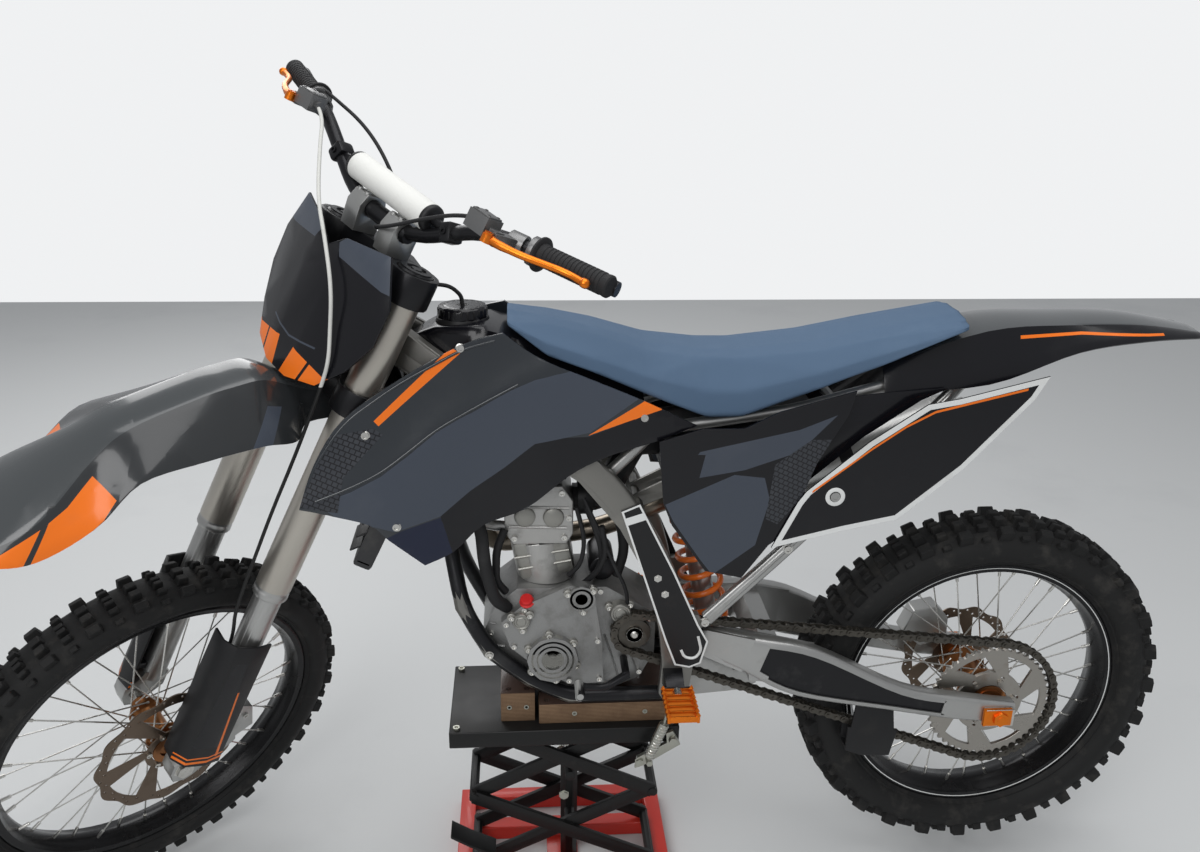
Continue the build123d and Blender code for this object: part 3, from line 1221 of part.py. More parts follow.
# Hook on the deck's left side, with the spring that ties it to the left foot peg's bracket
HOOK_FACE = DECK_WIDTH / 2 + SEAT_GAP
with BuildPart() as lift_hook:
    plate([(-204, 338), (-190, 366), (-178, 362), (-180, 342), (-128, 312), (-124, 290), (-140, 296)], HOOK_FACE + 8, 8)
    cylinder_y(-190, 350, 8, HOOK_FACE + 18, HOOK_FACE + 7, 6)
    cylinder_y(-148, 312, 6, HOOK_FACE + 26, HOOK_FACE + 7, 6)
    tube([(-148, 125, 308), (-147, 125, 326)], 3, 0, 6)
    tube([(-147, 125, 324), (-172, 126, 392)], 9, 0, 8)
    tube([(-171, 126, 390), (-184, 130, REAR_AXLE_Z + 80.7)], 2.5, 0, 6)
keep(lift_hook, "lift_hook", FLOOR)

CRADLE_FOOT = REAR_AXLE_Z + CRADLE_Z - CRADLE_R
with BuildPart() as lift_pads:
    beam_low = DECK_TOP + SEAT_GAP
    with Locations((-80, 0, (beam_low + CRADLE_FOOT - SEAT_GAP) / 2)):
        Box(250, 170, CRADLE_FOOT - SEAT_GAP - beam_low)
    with Locations((82, 0, beam_low + 29)):
        Box(60, 150, 58)
keep(lift_pads, "lift_pads", FLOOR)
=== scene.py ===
# %% [markdown]
# A motocross bike on a small scissor lift. This lesson dresses the bike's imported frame: it opens the frame,
# sets the camera and the light, builds the finishes, and then models one group of pieces after another.
# All sizes in the lesson are in millimetres and are turned into Blender's metres by one factor.

# %% Open the frame
from math import asin, atan2, cos, hypot, pi, radians, sin

import bpy
from mathutils import Matrix, Vector


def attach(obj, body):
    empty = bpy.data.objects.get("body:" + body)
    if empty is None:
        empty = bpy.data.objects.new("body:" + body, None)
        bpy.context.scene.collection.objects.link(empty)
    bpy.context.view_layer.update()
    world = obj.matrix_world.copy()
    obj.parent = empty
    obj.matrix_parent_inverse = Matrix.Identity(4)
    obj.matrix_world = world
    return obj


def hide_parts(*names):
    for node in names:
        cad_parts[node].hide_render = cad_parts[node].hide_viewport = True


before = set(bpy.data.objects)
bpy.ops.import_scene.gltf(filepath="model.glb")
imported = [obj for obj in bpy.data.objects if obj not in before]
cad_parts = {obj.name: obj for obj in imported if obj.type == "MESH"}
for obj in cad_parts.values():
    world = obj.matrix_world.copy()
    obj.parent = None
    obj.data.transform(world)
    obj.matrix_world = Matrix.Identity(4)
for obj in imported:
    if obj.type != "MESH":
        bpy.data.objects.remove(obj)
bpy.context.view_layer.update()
MM = 0.001

# %% [markdown]
# The bike is measured from its rear axle, the front end from the foot of its steering axis, and each wheel from
# its own centre with its axle pointing up. One matrix for each of these places sets a finished piece on the bike.
# Modelling in such a plain upright frame and moving the piece last keeps every number easy to read.

# %% Places on the bike
RAKE, STEER = radians(26.1), radians(43.4)
FORK_OFFSET = 54.6
WHEELBASE = 1508
FLOOR = Matrix.Identity(4)
BIKE = Matrix.Translation((-0.772, 0, 0.385))


def place_from(origin, along_x, along_z):
    """A place whose X and Z axes point these ways."""
    z = Vector(along_z).normalized()
    x = Vector(along_x).normalized()
    y = z.cross(x).normalized()
    turned = Matrix((x, y, z)).transposed().to_4x4()
    return Matrix.Translation(Vector(origin) * MM) @ turned


def across(spot, side=1):
    """A place whose Z axis points out of the bike's left side, or out of its right side where side is -1."""
    return place_from(spot, (1, 0, 0), (0, side, 0))


STEER_FOOT = (WHEELBASE - FORK_OFFSET * cos(RAKE), 0, -17 - FORK_OFFSET * sin(RAKE))
FRONT = BIKE @ place_from(
    STEER_FOOT, (cos(RAKE) * cos(STEER), sin(STEER), sin(RAKE) * cos(STEER)), (-sin(RAKE), 0, cos(RAKE))
)
ON_EDGE = across((0, 0, 0))
REAR_WHEEL = BIKE @ ON_EDGE
FRONT_WHEEL = FRONT @ Matrix.Translation((FORK_OFFSET * MM, 0, 0)) @ ON_EDGE
print("front axle at", [round(v, 4) for v in FRONT_WHEEL.translation])

# %% [markdown]
# The camera stands where the photographer stood, a little above the bars, and looks down at the bike through a
# fairly wide lens. It is turned sideways, tipped down and rolled a little, in that order.

# %% Camera


def linked(name, data):
    """A new object with this data, in the scene."""
    thing = bpy.data.objects.new(name, data)
    bpy.context.collection.objects.link(thing)
    return thing


LENS, SENSOR = 31.95, 36
CAMERA_SPOT = (0.06526, 1.66464, 1.52807)
yaw, pitch, roll = -0.076, 0.36, -0.015
right = Matrix.Rotation(yaw, 3, "Z") @ Vector((-1, 0, 0))
ahead = Matrix.Rotation(yaw, 3, "Z") @ Vector((0, -1, 0))
down = Vector((0, 0, -1))
view = ahead * cos(pitch) + down * sin(pitch)
low = down * cos(pitch) - ahead * sin(pitch)
camera_right = right * cos(roll) + low * sin(roll)
camera_down = low * cos(roll) - right * sin(roll)
camera_data = bpy.data.cameras.new("camera")
camera_data.sensor_width = SENSOR
camera_data.lens = LENS
camera = linked("camera", camera_data)
turn = Matrix((camera_right, -camera_down, -view)).transposed().to_4x4()
camera.matrix_world = Matrix.Translation(CAMERA_SPOT) @ turn
bpy.context.scene.camera = camera
print("camera looks along", [round(v, 3) for v in view])

# %% [markdown]
# Soft light: one large lamp on each side of the bike, one over it, and an even grey world. Only the camera sees a
# pale backdrop instead of that grey, which is what the Light Path node is for; reflections still show the grey.

# %% Light
scene = bpy.context.scene
scene.view_settings.view_transform = "Standard"


def soft_lamp(name, spot, target, size, power):
    """A square lamp at a spot, facing a target."""
    lamp_data = bpy.data.lights.new(name, "AREA")
    lamp_data.size = size
    lamp_data.energy = power
    lamp = linked(name, lamp_data)
    turn = (Vector(spot) - Vector(target)).to_track_quat("Z", "Y").to_matrix().to_4x4()
    lamp.matrix_world = Matrix.Translation(spot) @ turn
    return lamp


soft_lamp("lamp_left", (1.4, 3.0, 2.9), (0, 0, 0.6), 2.2, 62)
soft_lamp("lamp_right", (1.3, -2.8, 2.9), (0, 0, 0.6), 2.2, 42)
soft_lamp("lamp_top", (-0.4, 0.3, 3.6), (0, 0, 0.5), 2.6, 48)

world = bpy.data.worlds.new("world")
scene.world = world
world.use_nodes = True
nodes, links = world.node_tree.nodes, world.node_tree.links
nodes.clear()
light = nodes.new("ShaderNodeBackground")
light.inputs["Color"].default_value = (0.95, 0.97, 1, 1)
light.inputs["Strength"].default_value = 0.42
backdrop = nodes.new("ShaderNodeBackground")
backdrop.inputs["Color"].default_value = (0.87, 0.88, 0.89, 1)
path = nodes.new("ShaderNodeLightPath")
mixed = nodes.new("ShaderNodeMixShader")
world_out = nodes.new("ShaderNodeOutputWorld")
links.new(path.outputs["Is Camera Ray"], mixed.inputs["Fac"])
links.new(light.outputs[0], mixed.inputs[1])
links.new(backdrop.outputs[0], mixed.inputs[2])
links.new(mixed.outputs[0], world_out.inputs[0])

# %% [markdown]
# Finishes. Real surfaces are never one colour: plastic has a fine grain, metal has hazy patches, and dust settles
# everywhere. One shader group makes the masks for all of these, and each material uses it with its own values.
# The group puts out a patch mask, a roughness and a height; the shader itself stays in the material.

# %% The shared wear group


def math_node(tree, operation, *inputs, clamp=False):
    """A Math node's output; each input is a number, or the socket that feeds it."""
    node = tree.nodes.new("ShaderNodeMath")
    node.operation = operation
    node.use_clamp = clamp
    for socket, value in zip(node.inputs, inputs):
        if isinstance(value, (int, float)):
            socket.default_value = value
        else:
            tree.links.new(value, socket)
    return node.outputs[0]


def wear_group():
    """A node group: patches, roughness and fine height over a surface, from its place on the bike."""
    group = bpy.data.node_groups.new("surface_wear", "ShaderNodeTree")
    for name, value in (
        ("Patch size", 12), ("Grain size", 600), ("Roughness", 0.5), ("Spread", 0.2), ("Patch edge", 0.55)
    ):
        socket = group.interface.new_socket(name, in_out="INPUT", socket_type="NodeSocketFloat")
        socket.default_value = value
    for name in ("Patches", "Rough", "Height"):
        group.interface.new_socket(name, in_out="OUTPUT", socket_type="NodeSocketFloat")
    n, l = group.nodes, group.links
    given, out = n.new("NodeGroupInput"), n.new("NodeGroupOutput")
    place = n.new("ShaderNodeTexCoord")
    broad, fine = n.new("ShaderNodeTexNoise"), n.new("ShaderNodeTexNoise")
    broad.inputs["Roughness"].default_value = 0.62
    for noise, detail, size in ((broad, 6, "Patch size"), (fine, 2, "Grain size")):
        noise.inputs["Detail"].default_value = detail
        l.new(place.outputs["Object"], noise.inputs["Vector"])
        l.new(given.outputs[size], noise.inputs["Scale"])
    edge = math_node(group, "SUBTRACT", broad.outputs["Fac"], given.outputs["Patch edge"])
    centred = math_node(group, "SUBTRACT", broad.outputs["Fac"], 0.5)
    rough = math_node(group, "MULTIPLY_ADD", centred, given.outputs["Spread"], given.outputs["Roughness"])
    l.new(math_node(group, "MULTIPLY", edge, 5, clamp=True), out.inputs["Patches"])
    l.new(rough, out.inputs["Rough"])
    l.new(fine.outputs["Fac"], out.inputs["Height"])
    return group


WEAR = wear_group()


def finish(
    name, colour, worn, rough=0.5, spread=0.25, metallic=0.0, patch=14, edge=0.56, grain=700, bump=0.12, coat=0.0,
    share=0.6
):
    """A material: its colour, the colour of its worn or dusty patches, and how rough, grained and metallic it is."""
    material = bpy.data.materials.new(name)
    material.use_nodes = True
    n, l = material.node_tree.nodes, material.node_tree.links
    shader = n["Principled BSDF"]
    shader.inputs["Metallic"].default_value = metallic
    shader.inputs["Coat Weight"].default_value = coat
    shader.inputs["Coat Roughness"].default_value = 0.08
    shader.inputs["Specular IOR Level"].default_value = 0.5 if metallic else 0.32
    wear = n.new("ShaderNodeGroup")
    wear.node_tree = WEAR
    for socket, value in (
        ("Patch size", patch), ("Grain size", grain), ("Roughness", rough), ("Spread", spread), ("Patch edge", edge)
    ):
        wear.inputs[socket].default_value = value
    amount = math_node(material.node_tree, "MULTIPLY", wear.outputs["Patches"], share)
    mix = n.new("ShaderNodeMix")
    mix.name = "colour"
    mix.data_type = "RGBA"
    mix.inputs["A"].default_value = (*colour, 1)
    mix.inputs["B"].default_value = (*worn, 1)
    l.new(amount, mix.inputs["Factor"])
    l.new(mix.outputs["Result"], shader.inputs["Base Color"])
    l.new(wear.outputs["Rough"], shader.inputs["Roughness"])
    relief = n.new("ShaderNodeBump")
    relief.name = "relief"
    relief.inputs["Strength"].default_value = bump
    relief.inputs["Distance"].default_value = 0.001
    l.new(wear.outputs["Height"], relief.inputs["Height"])
    l.new(relief.outputs["Normal"], shader.inputs["Normal"])
    return material


def second_colour(material, mask, colour):
    """Lay one more colour over a finish where the mask says so."""
    n, l = material.node_tree.nodes, material.node_tree.links
    over = n.new("ShaderNodeMix")
    over.data_type = "RGBA"
    over.inputs["B"].default_value = (*colour, 1)
    l.new(mask, over.inputs["Factor"])
    l.new(n["colour"].outputs["Result"], over.inputs["A"])
    l.new(over.outputs["Result"], n["Principled BSDF"].inputs["Base Color"])


# %% The finishes of this bike
BLACK_PLASTIC = finish("black_plastic", (0.011, 0.011, 0.012), (0.03, 0.028, 0.026), 0.45, 0.3, grain=900, bump=0.2)
GLOSS_BLACK = finish(
    "gloss_black", (0.005, 0.005, 0.007), (0.012, 0.012, 0.013), 0.22, 0.15, bump=0.02, coat=0.12, patch=6
)
GLOSS_GREY = finish("gloss_grey", (0.02, 0.024, 0.029), (0.032, 0.036, 0.04), 0.2, 0.12, bump=0.02, coat=0.6, patch=5)
PANEL_GREY = finish("panel_grey", (0.05, 0.06, 0.08), (0.07, 0.08, 0.098), 0.34, 0.2, bump=0.03, coat=0.1, patch=7)
NAVY = finish("navy_print", (0.008, 0.012, 0.032), (0.016, 0.02, 0.04), 0.25, 0.15, bump=0.02, coat=0.12, patch=6)
ORANGE_PRINT = finish("orange_print", (0.83, 0.17, 0.01), (0.7, 0.16, 0.03), 0.3, 0.2, bump=0.02, coat=0.15, patch=8)
WHITE_PLASTIC = finish("white_plastic", (0.72, 0.73, 0.72), (0.5, 0.49, 0.46), 0.38, 0.2, bump=0.05, patch=10)
SEAT_BLUE = finish(
    "seat_cover", (0.075, 0.125, 0.2), (0.1, 0.155, 0.235), 0.78, 0.15, grain=1400, bump=0.55, patch=5, edge=0.5
)
TYRE_RUBBER = finish(
    "tyre_rubber", (0.01, 0.01, 0.01), (0.045, 0.042, 0.038), 0.72, 0.25, grain=350, bump=0.35, patch=22, edge=0.52,
    share=0.75
)
GRIP_RUBBER = finish("grip_rubber", (0.015, 0.015, 0.016), (0.04, 0.04, 0.04), 0.65, 0.2, grain=500, bump=0.25)
RIM_BLACK = finish("rim_black", (0.012, 0.012, 0.013), (0.05, 0.05, 0.05), 0.26, 0.2, metallic=0.55, bump=0.03)
SPOKE_STEEL = finish(
    "spoke_steel", (0.62, 0.61, 0.58), (0.4, 0.38, 0.34), 0.28, 0.25, metallic=1.0, bump=0.03, patch=40
)
ORANGE_METAL = finish(
    "orange_metal", (0.8, 0.2, 0.015), (0.45, 0.14, 0.03), 0.3, 0.25, metallic=0.85, bump=0.05, patch=30
)
BRIGHT_METAL = finish(
    "bright_metal", (0.44, 0.44, 0.43), (0.28, 0.275, 0.26), 0.36, 0.25, metallic=0.9, bump=0.08, patch=16
)
CAST_METAL = finish(
    "cast_metal", (0.3, 0.3, 0.295), (0.17, 0.165, 0.155), 0.46, 0.3, metallic=0.8, grain=420, bump=0.5, patch=26,
    edge=0.5
)
CYLINDER_METAL = finish(
    "cylinder_metal", (0.47, 0.465, 0.45), (0.22, 0.215, 0.2), 0.42, 0.3, metallic=0.8, grain=420, bump=0.5, patch=24,
    edge=0.52
)
COVER_METAL = finish(
    "cover_metal", (0.33, 0.325, 0.3), (0.2, 0.19, 0.17), 0.42, 0.25, metallic=0.8, grain=420, bump=0.4, patch=22
)
BLACK_METAL = finish("black_metal", (0.016, 0.016, 0.018), (0.06, 0.06, 0.06), 0.34, 0.25, metallic=0.6, bump=0.06)
FRAME_PAINT = finish(
    "frame_paint", (0.21, 0.205, 0.19), (0.3, 0.285, 0.26), 0.36, 0.2, metallic=0.7, bump=0.05, patch=12
)
FORK_METAL = finish("fork_metal", (0.5, 0.47, 0.42), (0.36, 0.335, 0.3), 0.34, 0.2, metallic=0.85, bump=0.05, patch=9)
DISC_STEEL = finish(
    "disc_steel", (0.36, 0.34, 0.31), (0.2, 0.15, 0.11), 0.3, 0.25, metallic=1.0, grain=1200, bump=0.2, patch=18
)
CHAIN_STEEL = finish(
    "chain_steel", (0.09, 0.083, 0.072), (0.19, 0.17, 0.14), 0.42, 0.25, metallic=0.85, grain=900, bump=0.15, patch=60
)
SPRING_ORANGE = finish("spring_paint", (0.75, 0.15, 0.012), (0.5, 0.13, 0.04), 0.34, 0.2, coat=0.4, bump=0.04)
PIPE_STEEL = finish("pipe_steel", (0.3, 0.26, 0.21), (0.2, 0.15, 0.13), 0.3, 0.25, metallic=1.0, bump=0.05, patch=10)
PAD_WHITE = finish("pad_cover", (0.74, 0.74, 0.71), (0.55, 0.54, 0.5), 0.7, 0.15, grain=1300, bump=0.4, patch=24)
COOLER = finish("cooler_metal", (0.05, 0.05, 0.052), (0.12, 0.115, 0.105), 0.45, 0.2, metallic=0.7, bump=0.1)
HOSE_WHITE = finish("hose_cover", (0.6, 0.6, 0.57), (0.42, 0.41, 0.38), 0.45, 0.2, grain=1500, bump=0.3, patch=30)
ZINC = finish("zinc", (0.42, 0.42, 0.37), (0.3, 0.29, 0.22), 0.38, 0.25, metallic=0.9, bump=0.08, patch=35)
LIFT_BLACK = finish(
    "lift_black", (0.006, 0.006, 0.006), (0.04, 0.035, 0.03), 0.42, 0.25, coat=0.0, bump=0.1, patch=20, edge=0.6
)
LIFT_RED = finish(
    "lift_red", (0.55, 0.03, 0.018), (0.24, 0.05, 0.035), 0.36, 0.2, coat=0.3, bump=0.08, patch=18, edge=0.6
)
PLY_FACE = finish(
    "lift_wood", (0.062, 0.038, 0.03), (0.11, 0.085, 0.07), 0.3, 0.25, grain=300, bump=0.2, patch=9, coat=0.2
)
PLY_EDGE = finish(
    "ply_edge", (0.24, 0.155, 0.09), (0.12, 0.075, 0.045), 0.8, 0.2, grain=500, bump=0.6, patch=30, edge=0.45
)
# The hubs are orange anodised; this colour is that orange painted dark brown, as painted shade.
HUB_SHADED_ORANGE = finish(
    "hub_shaded_orange", (0.3, 0.125, 0.045), (0.12, 0.07, 0.04), 0.32, 0.25, metallic=0.9, bump=0.06, patch=30
)
DISC_BRONZE = finish(
    "disc_bronze", (0.16, 0.12, 0.09), (0.09, 0.06, 0.04), 0.34, 0.25, metallic=0.95, grain=1200, bump=0.2, patch=18
)
PERCH_METAL = finish("perch_metal", (0.2, 0.2, 0.2), (0.12, 0.12, 0.118), 0.38, 0.25, metallic=0.8, bump=0.08)
# The fender plastic on its top, painted lighter and glossier than on its sides: a painted highlight from the light
# above.
FENDER_TOP_LIT = finish(
    "fender_top_lit", (0.05, 0.055, 0.058), (0.07, 0.075, 0.078), 0.18, 0.12, bump=0.02, coat=0.7, patch=5
)
FENDER_SIDE = finish(
    "fender_side", (0.026, 0.028, 0.03), (0.04, 0.042, 0.044), 0.2, 0.12, bump=0.02, coat=0.4, patch=5
)
RED_PLUG = finish("red_plug", (0.62, 0.02, 0.02), (0.45, 0.03, 0.03), 0.4, 0.2, bump=0.03)
print("finishes:", len(bpy.data.materials))

# %% [markdown]
# The workshop tools of this lesson. Everything is modelled upright near the origin and set on the bike last.
# Each tool selects what it works on by place or normal, because an operator acts on all that is selected.

# %% Tools: objects and edit mode


def alone(piece):
    """Make a piece the only selected and active object."""
    bpy.ops.object.select_all(action="DESELECT")
    piece.select_set(True)
    bpy.context.view_layer.objects.active = piece
    return piece


def named(piece, name):
    piece.name = name
    piece.data.name = name
    return piece


def from_points(name, points, edges, faces):
    """A mesh object from points in millimetres."""
    mesh = bpy.data.meshes.new(name)
    mesh.from_pydata([Vector(p) * MM for p in points], edges, faces)
    mesh.update()
    return linked(name, mesh)


def pick(piece, test):
    """Enter edit mode with only the faces selected whose middle and normal pass the test."""
    alone(piece)
    bpy.ops.object.mode_set(mode="EDIT")
    bpy.ops.mesh.select_mode(type="FACE")
    bpy.ops.mesh.select_all(action="DESELECT")
    bpy.ops.object.mode_set(mode="OBJECT")
    for face in piece.data.polygons:
        face.select = test(face.center, face.normal)
    bpy.ops.object.mode_set(mode="EDIT")


def edit_all(piece):
    """Enter edit mode with the whole piece selected."""
    alone(piece)
    bpy.ops.object.mode_set(mode="EDIT")
    bpy.ops.mesh.select_all(action="SELECT")


def leave():
    bpy.ops.object.mode_set(mode="OBJECT")


def tidy(piece):
    """Merge doubles and turn all faces outwards."""
    edit_all(piece)
    bpy.ops.mesh.remove_doubles(threshold=0.00002)
    bpy.ops.mesh.normals_make_consistent(inside=False)
    leave()
    return piece


def modify(piece, kind, **values):
    """Add a modifier with these values and apply it."""
    alone(piece)
    modifier = piece.modifiers.new(kind.lower(), kind)
    for key, value in values.items():
        setattr(modifier, key, value)
    bpy.ops.object.modifier_apply(modifier=modifier.name)
    return piece


def smooth(piece, angle=38):
    alone(piece)
    bpy.ops.object.shade_smooth_by_angle(angle=radians(angle))
    return piece


def soften(piece, width=0.8, angle=38, segments=2):
    """Round the edges that are sharper than the angle, and shade the rest smooth."""
    modify(piece, "BEVEL", width=width * MM, segments=segments, limit_method="ANGLE", angle_limit=radians(angle))
    return smooth(piece, angle)


def creased(piece, sharpness, crease, levels):
    """Smooth a coarse body by subdivision, held back along its sharp edges."""
    edit_all(piece)
    bpy.ops.mesh.edges_select_sharp(sharpness=radians(sharpness))
    bpy.ops.transform.edge_crease(value=crease)
    leave()
    return modify(piece, "SUBSURF", levels=levels, render_levels=levels)


def join(pieces, name):
    """Join pieces into one."""
    bpy.ops.object.select_all(action="DESELECT")
    for piece in pieces:
        piece.select_set(True)
    bpy.context.view_layer.objects.active = pieces[0]
    if len(pieces) > 1:
        bpy.ops.object.join()
    return named(pieces[0], name)


def moved(piece, matrix):
    """Move a piece and put its place into its mesh."""
    alone(piece)
    piece.matrix_world = matrix @ piece.matrix_world
    bpy.ops.object.transform_apply(location=True, rotation=True, scale=True)
    return piece


def copy_of(piece, matrix=None):
    """A copy with a mesh of its own, moved by a matrix."""
    twin = piece.copy()
    twin.data = piece.data.copy()
    bpy.context.collection.objects.link(twin)
    return moved(twin, matrix) if matrix else twin


def at(x, y, z):
    return Matrix.Translation(Vector((x, y, z)) * MM)


def mirrored(piece):
    """The same piece on the other side of the middle plane."""
    twin = copy_of(piece, Matrix.Scale(-1, 4, (0, 1, 0)))
    edit_all(twin)
    bpy.ops.mesh.normals_make_consistent(inside=False)
    leave()
    return twin


def round_array(piece, count):
    """Copies of a piece evenly round the Z axis, by an array that turns with a helper."""
    helper = linked("turner", None)
    helper.rotation_euler = (0, 0, 2 * pi / count)
    bpy.context.view_layer.update()
    modify(piece, "ARRAY", count=count, use_relative_offset=False, use_object_offset=True, offset_object=helper)
    bpy.data.objects.remove(helper)
    return piece


TABLE = []


def fit(piece, name, place, body, materials, replaces=()):
    """Set a finished piece, or parts to join, in its place, with its finishes and the body it rides on."""
    piece = join(piece, name) if isinstance(piece, list) else named(piece, name)
    moved(piece, place)
    if not isinstance(materials, (list, tuple)):
        materials = [materials]
    if len(piece.data.materials) == 0:
        for material in materials:
            piece.data.materials.append(material)
    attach(piece, body)
    if replaces:
        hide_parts(*replaces)
    TABLE.append(name)
    return piece


# %% Tools: round, flat and tubular forms


def turned(name, outline, steps=64, closed=True, angle=38):
    """A round piece: its half outline, (radius, height), spun once round the Z axis."""
    count = len(outline)
    edges = [(i, (i + 1) % count) for i in range(count if closed else count - 1)]
    piece = from_points(name, [(r, 0, z) for r, z in outline], edges, [])
    edit_all(piece)
    bpy.ops.mesh.spin(steps=steps, angle=2 * pi, center=(0, 0, 0), axis=(0, 0, 1))
    leave()
    tidy(piece)
    return smooth(piece, angle)


def slab(name, outline, left, thickness, bevel=0.8, angle=38):
    """A plate with this side outline, (x, z), from its left face towards the right, with its edges eased."""
    piece = from_points(name, [(x, left, z) for x, z in outline], [], [list(range(len(outline)))])
    edit_all(piece)
    bpy.ops.mesh.extrude_region_move(TRANSFORM_OT_translate={"value": (0, -thickness * MM, 0)})
    leave()
    tidy(piece)
    return soften(piece, bevel, angle) if bevel else smooth(piece, angle)


def block(name, middle, size, bevel=0.8):
    """A block with eased edges."""
    bpy.ops.mesh.primitive_cube_add(size=1, location=Vector(middle) * MM, scale=Vector(size) * MM)
    piece = named(bpy.context.active_object, name)
    bpy.ops.object.transform_apply(location=True, rotation=True, scale=True)
    return soften(piece, bevel) if bevel else piece


def round_curve(name, kind, radius, sides):
    """A curve with a round section and closed ends, and its one spline."""
    curve = bpy.data.curves.new(name, "CURVE")
    curve.dimensions = "3D"
    curve.bevel_depth = radius * MM
    curve.bevel_resolution = max(1, sides // 4 - 1)
    curve.use_fill_caps = True
    return curve, curve.splines.new(kind)


def curve_mesh(name, curve):
    """The curve as a smooth-shaded mesh object."""
    alone(linked(name, curve))
    bpy.ops.object.convert(target="MESH")
    return smooth(tidy(bpy.context.active_object), 50)


def bar(name, points, radius, bend=20, sides=12, radii=None):
    """A smooth bar along a route: each corner is eased by two handles, then the curve becomes a mesh."""
    spots = [Vector(p) for p in points]
    knots = [(spots[0], None)]
    for i in range(1, len(spots) - 1):
        back, ahead = spots[i - 1] - spots[i], spots[i + 1] - spots[i]
        reach = min(bend, back.length * 0.45, ahead.length * 0.45)
        knots.append((spots[i] + back.normalized() * reach, spots[i]))
        knots.append((spots[i] + ahead.normalized() * reach, spots[i]))
    knots.append((spots[-1], None))
    curve, line = round_curve(name, "BEZIER", radius, sides)
    curve.resolution_u = 6
    line.bezier_points.add(len(knots) - 1)
    for i, (spot, corner) in enumerate(knots):
        point = line.bezier_points[i]
        point.handle_left_type = point.handle_right_type = "FREE"
        point.co = spot * MM
        before = knots[i - 1][0] if i else spot
        after = knots[i + 1][0] if i < len(knots) - 1 else spot
        point.handle_left = spot.lerp(before, 0.33) * MM
        point.handle_right = spot.lerp(after, 0.33) * MM
        if corner is not None:
            inward = spot.lerp(corner, 0.62) * MM
            if i % 2 == 1:
                point.handle_right = inward
            else:
                point.handle_left = inward
        if radii:
            point.radius = radii[min(i, len(radii) - 1)]
    return curve_mesh(name, curve)


def bolt(name, spot, toward, radius=6, height=5, socket=True):
    """A screw head at a spot that points some way: a hexagon on a washer, with a socket sunk in its face."""
    bpy.ops.mesh.primitive_cylinder_add(vertices=12 if socket else 6, radius=radius * MM, depth=height * MM)
    head = bpy.context.active_object
    pick(head, lambda c, n: n.z > 0.9)
    bpy.ops.mesh.inset(thickness=radius * 0.42 * MM)
    bpy.ops.mesh.extrude_region_move(
        TRANSFORM_OT_translate={"value": (0, 0, (-height * 0.5 if socket else 0.6) * MM)}
    )
    leave()
    pick(head, lambda c, n: n.z < -0.9)
    bpy.ops.mesh.extrude_region_move(TRANSFORM_OT_translate={"value": (0, 0, -0.5 * MM)})
    bpy.ops.transform.resize(value=(1.25, 1.25, 1))
    leave()
    smooth(head, 30)
    turn = Vector(toward).to_track_quat("Z", "Y").to_matrix().to_4x4()
    return named(moved(head, Matrix.Translation(Vector(spot) * MM) @ turn @ at(0, 0, height / 2)), name)


def from_cad(node, place, width=0.8, angle=38, segments=2):
    """A merged copy of a CAD node, in its own frame, with its edges rounded."""
    piece = linked(node + "_dressed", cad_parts[node].data.copy())
    piece.data.materials.clear()
    edit_all(piece)
    bpy.ops.mesh.remove_doubles(threshold=0.00002)
    bpy.ops.mesh.dissolve_limited(angle_limit=radians(1.5))
    leave()
    moved(piece, place.inverted())
    if width:
        soften(piece, width, angle, segments)
    return piece


def dress(node, place, body, material, width=0.8, angle=38, segments=2):
    """Put an eased copy of a CAD node in that node's place."""
    return fit(from_cad(node, place, width, angle, segments), node + "_body", place, body, material, (node,))


print("tools ready")

# %% [markdown]
# Wheels. A knobbly tyre is a smooth round carcass with rows of rubber blocks: the carcass is its half outline
# spun round the axle, and one block of each row is modelled and copied round by an array.

# %% Tyres


def knob(spot_r, z, size, taper=0.82, tilt=0):
    """One tread block: a box as (deep, round, across), narrower at its top, standing at radius spot_r."""
    bpy.ops.mesh.primitive_cube_add(size=1, location=(0, 0, 0), scale=Vector(size) * MM)
    piece = bpy.context.active_object
    bpy.ops.object.transform_apply(location=True, rotation=True, scale=True)
    pick(piece, lambda c, n: n.x > 0.9)
    bpy.ops.transform.resize(value=(1, taper, taper))
    leave()
    modify(piece, "BEVEL", width=1.2 * MM, segments=1, limit_method="ANGLE", angle_limit=radians(30))
    return moved(piece, at(spot_r, 0, z) @ Matrix.Rotation(radians(-tilt), 4, "Y"))


def tyre_piece(name, outline, knobs, place, body, node):
    """The carcass and its rows of blocks, joined. knobs lists (block, copies, first angle)."""
    half = [(r, z) for z, r in outline]
    carcass = turned(name, half + [(r, -z) for r, z in reversed(half) if z > 0], steps=96)
    parts = [carcass]
    for piece, count, start in knobs:
        moved(piece, Matrix.Rotation(radians(start), 4, "Z"))
        parts.append(round_array(piece, count))
    whole = join(parts, name)
    smooth(whole, 30)
    return fit(whole, name, place, body, TYRE_RUBBER, (node,))


# Blocks in each row, and the degrees of half a step, by which some of the rows are turned
TREAD, HALF_STEP = 28, 6.43
